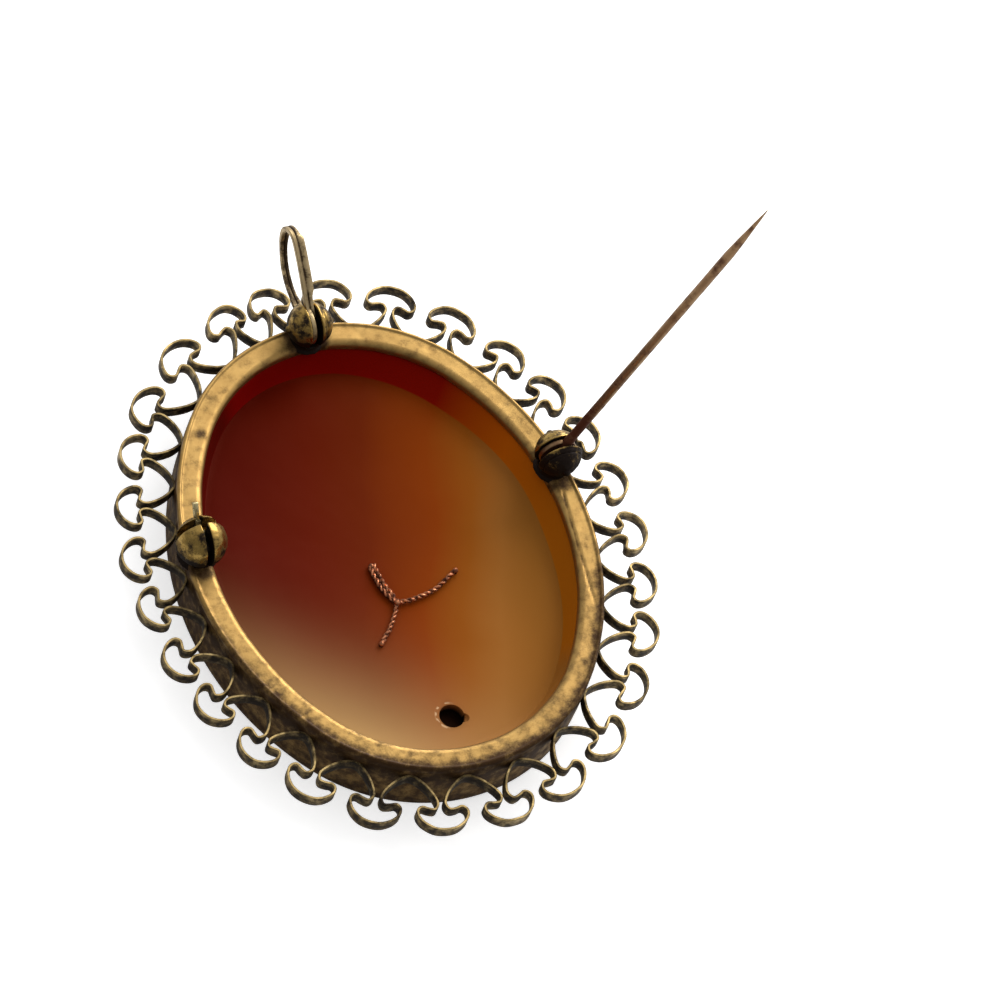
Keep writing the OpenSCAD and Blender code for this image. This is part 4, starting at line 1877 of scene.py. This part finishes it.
@dataclass(frozen=True)
class ShellFinish:
    """Polished shell: deep red at the top left, through amber, to tan at the lower right."""

    name: str = "Amber shell"
    reflection_from: float = 2.0
    reflection_run: float = 14.0

    # Heights between which the front ends and the hollow begins, and at the foot of its steep edge
    FRONT_TO_BACK = (1.9, 2.2)
    EDGE_FOOT = (3.22, 3.3)
    # The dark speck in the floor, and the middle of the drilled hole's rim, which carries a painted highlight
    SPECK = (11.8, -6.3, 2.9)
    DRILL = (-0.15, -15.0, 3.1)

    def make(self) -> bpy.types.Material:
        """Builds the material.

        Returns:
            The material.
        """
        material, graph, shader = new_material(self.name)
        place = graph.place()
        parts = graph.split(place)
        floor = self.floor(graph, place, parts)
        # The far side's steep edge takes the crescent's colours, painted shade.
        back = graph.mix(self.crescent_shade_share(graph, parts), floor, self.crescent_shade(graph, parts))
        front = graph.mix(graph.noise(place, 0.25, 3.0), srgb(112, 40, 12), srgb(146, 66, 24))
        whole = graph.mix(graph.fit(parts[2], *self.FRONT_TO_BACK), front, back)
        speck = graph.fit(graph.gap(place, self.SPECK), 0.06, 0.2, 0.6, 0.0)
        specked = graph.mix(speck, whole, srgb(60, 26, 10))
        # Painted highlight: a pale glint on the left of the drilled hole's rim.
        highlighted = graph.mix(self.rim_highlight(graph, place, parts), specked, srgb(214, 178, 136))
        # The mask paints the drilled hole nearly black: painted shade.
        graph.put(shader.inputs["Base Color"], graph.mix(graph.grime_and_shade(), highlighted, srgb(5, 2, 1)))
        graph.put(shader.inputs["Roughness"], graph.fit(graph.noise(place, 0.8, 4.0), 0.2, 0.8, 0.4, 0.55))
        shader.inputs["Specular Tint"].default_value = (1.0, 0.3, 0.08, 1.0)
        shader.inputs["Specular IOR Level"].default_value = 0.07
        graph.put(shader.inputs["Normal"], graph.bump(graph.noise(place, 3.0, 5.0), 0.006))
        return material

    def floor(self, graph: Graph, place: Socket, parts: Sequence[Socket]) -> Socket:
        """Colours the hollow's floor, with a painted reflection of the light as a pale patch at its lower
        left.

        Args:
            graph: The material's graph.
            place: The place.
            parts: The place's values along X, Y and Z.

        Returns:
            The colour.
        """
        cloud = graph.times(graph.minus(graph.noise(place, 0.09, 2.0), 0.5), 4.0)
        along = graph.fit(graph.plus(graph.towards(parts, 0.9, -0.35), cloud), -14.0, 14.0)
        body = graph.ramp(along, (
            (0.0, srgb(80, 6, 1)), (0.2, srgb(93, 19, 2)), (0.42, srgb(101, 31, 4)), (0.7, srgb(130, 54, 6)),
            (0.84, srgb(143, 78, 19)), (0.94, srgb(153, 97, 40)), (1.0, srgb(144, 92, 34)),
        ))
        # Painted reflection: a pale patch growing towards the lower left.
        near = graph.times(graph.minus(graph.towards(parts, -0.6, -0.8), self.reflection_from), 1 / self.reflection_run)
        reflection = graph.times(graph.reckon("POWER", graph.reckon("MAXIMUM", near, 0.0), 3.0), 0.62)
        return graph.mix(reflection, body, srgb(202, 168, 112))

    def crescent_shade(self, graph: Graph, parts: Sequence[Socket]) -> Socket:
        """Colours the hollow's steep edge with the dark crescent that the rim's shade makes in the shell,
        from blood red to orange: painted shade.
        """
        return graph.ramp(graph.fit(graph.towards(parts, 0.75, -0.66), -14.0, 16.0), (
            (0.0, srgb(124, 4, 2)), (0.38, srgb(132, 14, 3)), (0.72, srgb(184, 90, 6)),
            (1.0, srgb(166, 94, 14)),
        ))

    def crescent_shade_share(self, graph: Graph, parts: Sequence[Socket]) -> Socket:
        """Judges where the painted shade of the crescent goes: the steep edge on the far side of the hollow.
        """
        far = graph.fit(graph.towards(parts, 0.83, 0.55), 0.5, 3.5)
        return graph.times(graph.fit(parts[2], *self.EDGE_FOOT), far)

    def rim_highlight(self, graph: Graph, place: Socket, parts: Sequence[Socket]) -> Socket:
        """Judges where the drilled hole's rim carries a painted highlight, a pale ragged glint on its left
        side.

        Args:
            graph: The material's graph.
            place: The place.
            parts: The place's values along X, Y and Z.

        Returns:
            A share from 0 to 1.
        """
        drill = graph.gap(place, self.DRILL)
        ring = graph.times(graph.fit(drill, 1.04, 1.1), graph.fit(drill, 1.12, 1.3, 1.0, 0.0))
        glinting = graph.times(ring, graph.fit(graph.noise(place, 1.3, 3.0), 0.49, 0.58))
        return graph.times(glinting, graph.fit(graph.towards(parts, -0.95, 0.3), -4.9, -3.9))


@dataclass(frozen=True)
class CarvingFinish:
    """The cream layer: white where it is thick, with the amber ground showing where it is thin."""

    name: str = "Cream layer"

    def make(self) -> bpy.types.Material:
        """Builds the material.

        Returns:
            The material.
        """
        material, graph, shader = new_material(self.name)
        place = graph.place()
        thin = graph.fit(graph.split(place)[2], GROUND_Z - 0.75, GROUND_Z - 0.05)
        veil = graph.plus(thin, graph.times(graph.minus(graph.noise(place, 0.5, 4.0), 0.5), 0.3))
        colour = graph.ramp(veil, (
            (0.0, srgb(244, 234, 216)), (0.45, srgb(240, 218, 190)), (0.8, srgb(222, 172, 132)),
            (1.0, srgb(196, 122, 78)),
        ))
        graph.put(shader.inputs["Base Color"], colour)
        graph.put(shader.inputs["Roughness"], graph.fit(graph.noise(place, 1.2, 4.0), 0.2, 0.8, 0.34, 0.5))
        shader.inputs["Subsurface Weight"].default_value = 0.3
        shader.inputs["Subsurface Radius"].default_value = (0.0015, 0.0009, 0.0005)
        shader.inputs["Coat Weight"].default_value = 0.15
        shader.inputs["Coat Roughness"].default_value = 0.2
        graph.put(shader.inputs["Normal"], graph.bump(graph.noise(place, 4.0, 4.0), 0.01))
        return material


@dataclass(frozen=True)
class FloorFinish:
    """The pale table."""

    name: str = "Pale table"

    def make(self) -> bpy.types.Material:
        """Builds the material.

        Returns:
            The material.
        """
        material, graph, shader = new_material(self.name)
        tone = graph.noise(graph.place(), 0.01, 2.0)
        graph.put(shader.inputs["Base Color"], graph.mix(tone, (0.9, 0.9, 0.9), (0.94, 0.94, 0.94)))
        shader.inputs["Roughness"].default_value = 0.9
        shader.inputs["Specular IOR Level"].default_value = 0.1
        seen = graph.node("ShaderNodeLightPath").outputs["Is Camera Ray"]
        shader.inputs["Emission Color"].default_value = (1.0, 1.0, 1.0, 1.0)
        graph.put(shader.inputs["Emission Strength"], graph.times(seen, 0.6))
        return material


# Studio


@dataclass(frozen=True)
class Viewpoint:
    """The camera at the photograph's angle, with angles in degrees and places in millimetres."""

    azimuth: float = -41.493
    elevation: float = 56.678
    roll: float = 23.222
    aim: tuple[float, float, float] = (10.4026, 1.6226, 5.4)
    distance: float = 478.719
    lens: float = 210.86
    sensor: float = 36.0

    def place(self) -> None:
        """Puts the camera in the scene."""
        turn, rise, roll = (math.radians(a) for a in (self.azimuth, self.elevation, self.roll))
        back = Vector((math.sin(turn) * math.cos(rise), -math.cos(turn) * math.cos(rise), math.sin(rise)))
        level = Vector((math.cos(turn), math.sin(turn), 0))
        upright = back.cross(level)
        right = level * math.cos(roll) + upright * math.sin(roll)
        up = back.cross(right)
        deselect()
        bpy.ops.object.camera_add()
        camera = bpy.context.object
        camera.name = "view_of_the_back"
        camera.data.lens = self.lens
        camera.data.sensor_width = self.sensor
        camera.data.sensor_fit = "HORIZONTAL"
        camera.data.clip_start = 0.01
        camera.data.clip_end = 10.0
        turned = Matrix((right, up, back)).transposed().to_4x4()
        middle = (Vector(self.aim) + back * self.distance) * MM
        camera.matrix_world = Matrix.Translation(middle) @ turned
        bpy.context.scene.camera = camera


@dataclass(frozen=True)
class Softbox:
    """A soft light that faces the brooch."""

    name: str
    direction: tuple[float, float, float]
    distance: float
    size: float
    watts: float
    tint: Colour = (1.0, 1.0, 1.0)

    def place(self) -> None:
        """Puts the light in the scene."""
        deselect()
        bpy.ops.object.light_add(type="AREA")
        light = bpy.context.object
        light.name = self.name
        light.data.shape = "DISK"
        light.data.size = self.size
        light.data.energy = self.watts
        light.data.color = self.tint
        way = Vector(self.direction).normalized()
        facing = way.to_track_quat("Z", "Y").to_matrix().to_4x4()
        light.matrix_world = Matrix.Translation(way * self.distance) @ facing


class Studio:
    """The table, the lights and the camera."""

    LIGHTS = (
        Softbox("key", (0.66, 0.42, 0.5), 0.9, 0.7, 5.6, (1.0, 0.97, 0.93)),
        Softbox("fill", (0.36, 0.8, 0.48), 1.2, 0.6, 1.5),
        Softbox("low window", (0.57, 0.77, 0.15), 1.0, 0.32, 2.0),
    )

    def build(self) -> None:
        """Sets the whole studio up."""
        Viewpoint().place()
        for light in self.LIGHTS:
            light.place()
        self.add_table()
        self.add_sky()
        bpy.context.scene.view_settings.view_transform = "Standard"
        LOG.info("studio: %d lights", len(self.LIGHTS))

    def add_table(self) -> None:
        """Adds the table that the brooch lies on."""
        deselect()
        bpy.ops.mesh.primitive_plane_add(size=6.0)
        table = bpy.context.object
        table.name = "table"
        with editing(table):
            bpy.ops.mesh.select_all(action="SELECT")
            bpy.ops.mesh.subdivide(number_cuts=3)
        table.data.materials.append(FloorFinish().make())

    def add_sky(self) -> None:
        """Adds the soft light of the room, brighter on the far side."""
        world = bpy.data.worlds.new("room")
        bpy.context.scene.world = world
        world.use_nodes = True
        graph = Graph(world.node_tree)
        parts = graph.split(graph.node("ShaderNodeTexCoord").outputs["Generated"])
        far = graph.plus(graph.towards(parts, 0.55, 0.6), graph.times(parts[2], 0.5))
        bright = graph.fit(far, -0.5, 0.9, 0.22, 1.0)
        sky = world.node_tree.nodes["Background"]
        graph.put(sky.inputs["Color"], graph.mix(bright, (0.1, 0.1, 0.1), (1.0, 1.0, 1.0)))
        sky.inputs["Strength"].default_value = 0.9


class Brooch:
    """The whole brooch, from its bezel to its wire tie."""

    def __init__(self) -> None:
        """Settles the sizes and places that pieces share."""
        self.catch = Catch()
        pin_x = flange_x(PIN_Y)
        turn = math.atan2(self.catch.y + self.catch.seat_off - PIN_Y, pin_x - self.catch.x)
        self.pin = Pin(pin_x, PIN_Y, turn)
        self.pin_ball = JointBall("pin_ball", pin_x, PIN_Y, -turn, 1.95, near_side_shade=0.34, seed=4.0)
        self.bail = BailLoop()
        self.bail_ball = JointBall("bail_ball", 0.0, self.bail.y, math.pi / 2, 1.9, seed=9.0)
        self.shell = Shell()

    def dress(self, piece: Piece, material: bpy.types.Material) -> None:
        """Gives a piece its finish."""
        piece.data.materials.clear()
        piece.data.materials.append(material)

    def build_setting(self) -> None:
        """Builds the soldered frame: bezel, gallery, joint balls and catch."""
        bezel = mount(Bezel().build(), Body.FRAME, Metal.GILT, "setting")
        self.dress(bezel, FLANGE_GILT.make())
        gallery = mount(ScrollGallery().build(), Body.FRAME, Metal.GILT, "setting")
        self.dress(gallery, RIBBON_GILT.make())
        olive = CAST_GILT.make()
        for part in (self.pin_ball, self.bail_ball):
            self.dress(mount(part.build(), Body.FRAME, Metal.GILT, "setting", place=part.place()), olive)
        body = mount(self.catch.build_body(), Body.FRAME, Metal.GILT, "setting", place=self.catch.place())
        self.dress(body, olive)

    def build_cameo(self) -> None:
        """Builds the shell and its carved front."""
        self.dress(mount(self.shell.build(), Body.FRAME, Metal.SHELL, "cameo"), ShellFinish().make())
        self.dress(mount(Carving().build(), Body.FRAME, Metal.SHELL, "cameo"), CarvingFinish().make())

    def build_findings(self) -> None:
        """Builds what moves, and the wire tie."""
        pin = mount(self.pin.build(), Body.PIN, Metal.PIN, "pin_stem", place=self.pin.place())
        self.dress(pin, PIN_METAL.make())
        bail = mount(self.bail.build(), Body.BAIL, Metal.BAIL, "bail", place=self.bail.place())
        self.dress(bail, BAIL_METAL.make())
        ring = mount(self.catch.build_ring(), Body.CATCH, Metal.CATCH, "catch_ring",
                     place=self.catch.place(self.catch.seat_off))
        self.dress(ring, CATCH_METAL.make())
        tie = mount(WireTie(self.shell).build(), Body.FRAME, Metal.TIE, "wire_tie")
        self.dress(tie, COPPER_WIRE.make())


def main() -> None:
    """Builds the studio and the brooch."""
    logging.basicConfig(level=logging.INFO, format="%(name)s: %(message)s")
    Studio().build()
    brooch = Brooch()
    brooch.build_setting()
    brooch.build_cameo()
    brooch.build_findings()


if __name__ == "__main__":
    main()
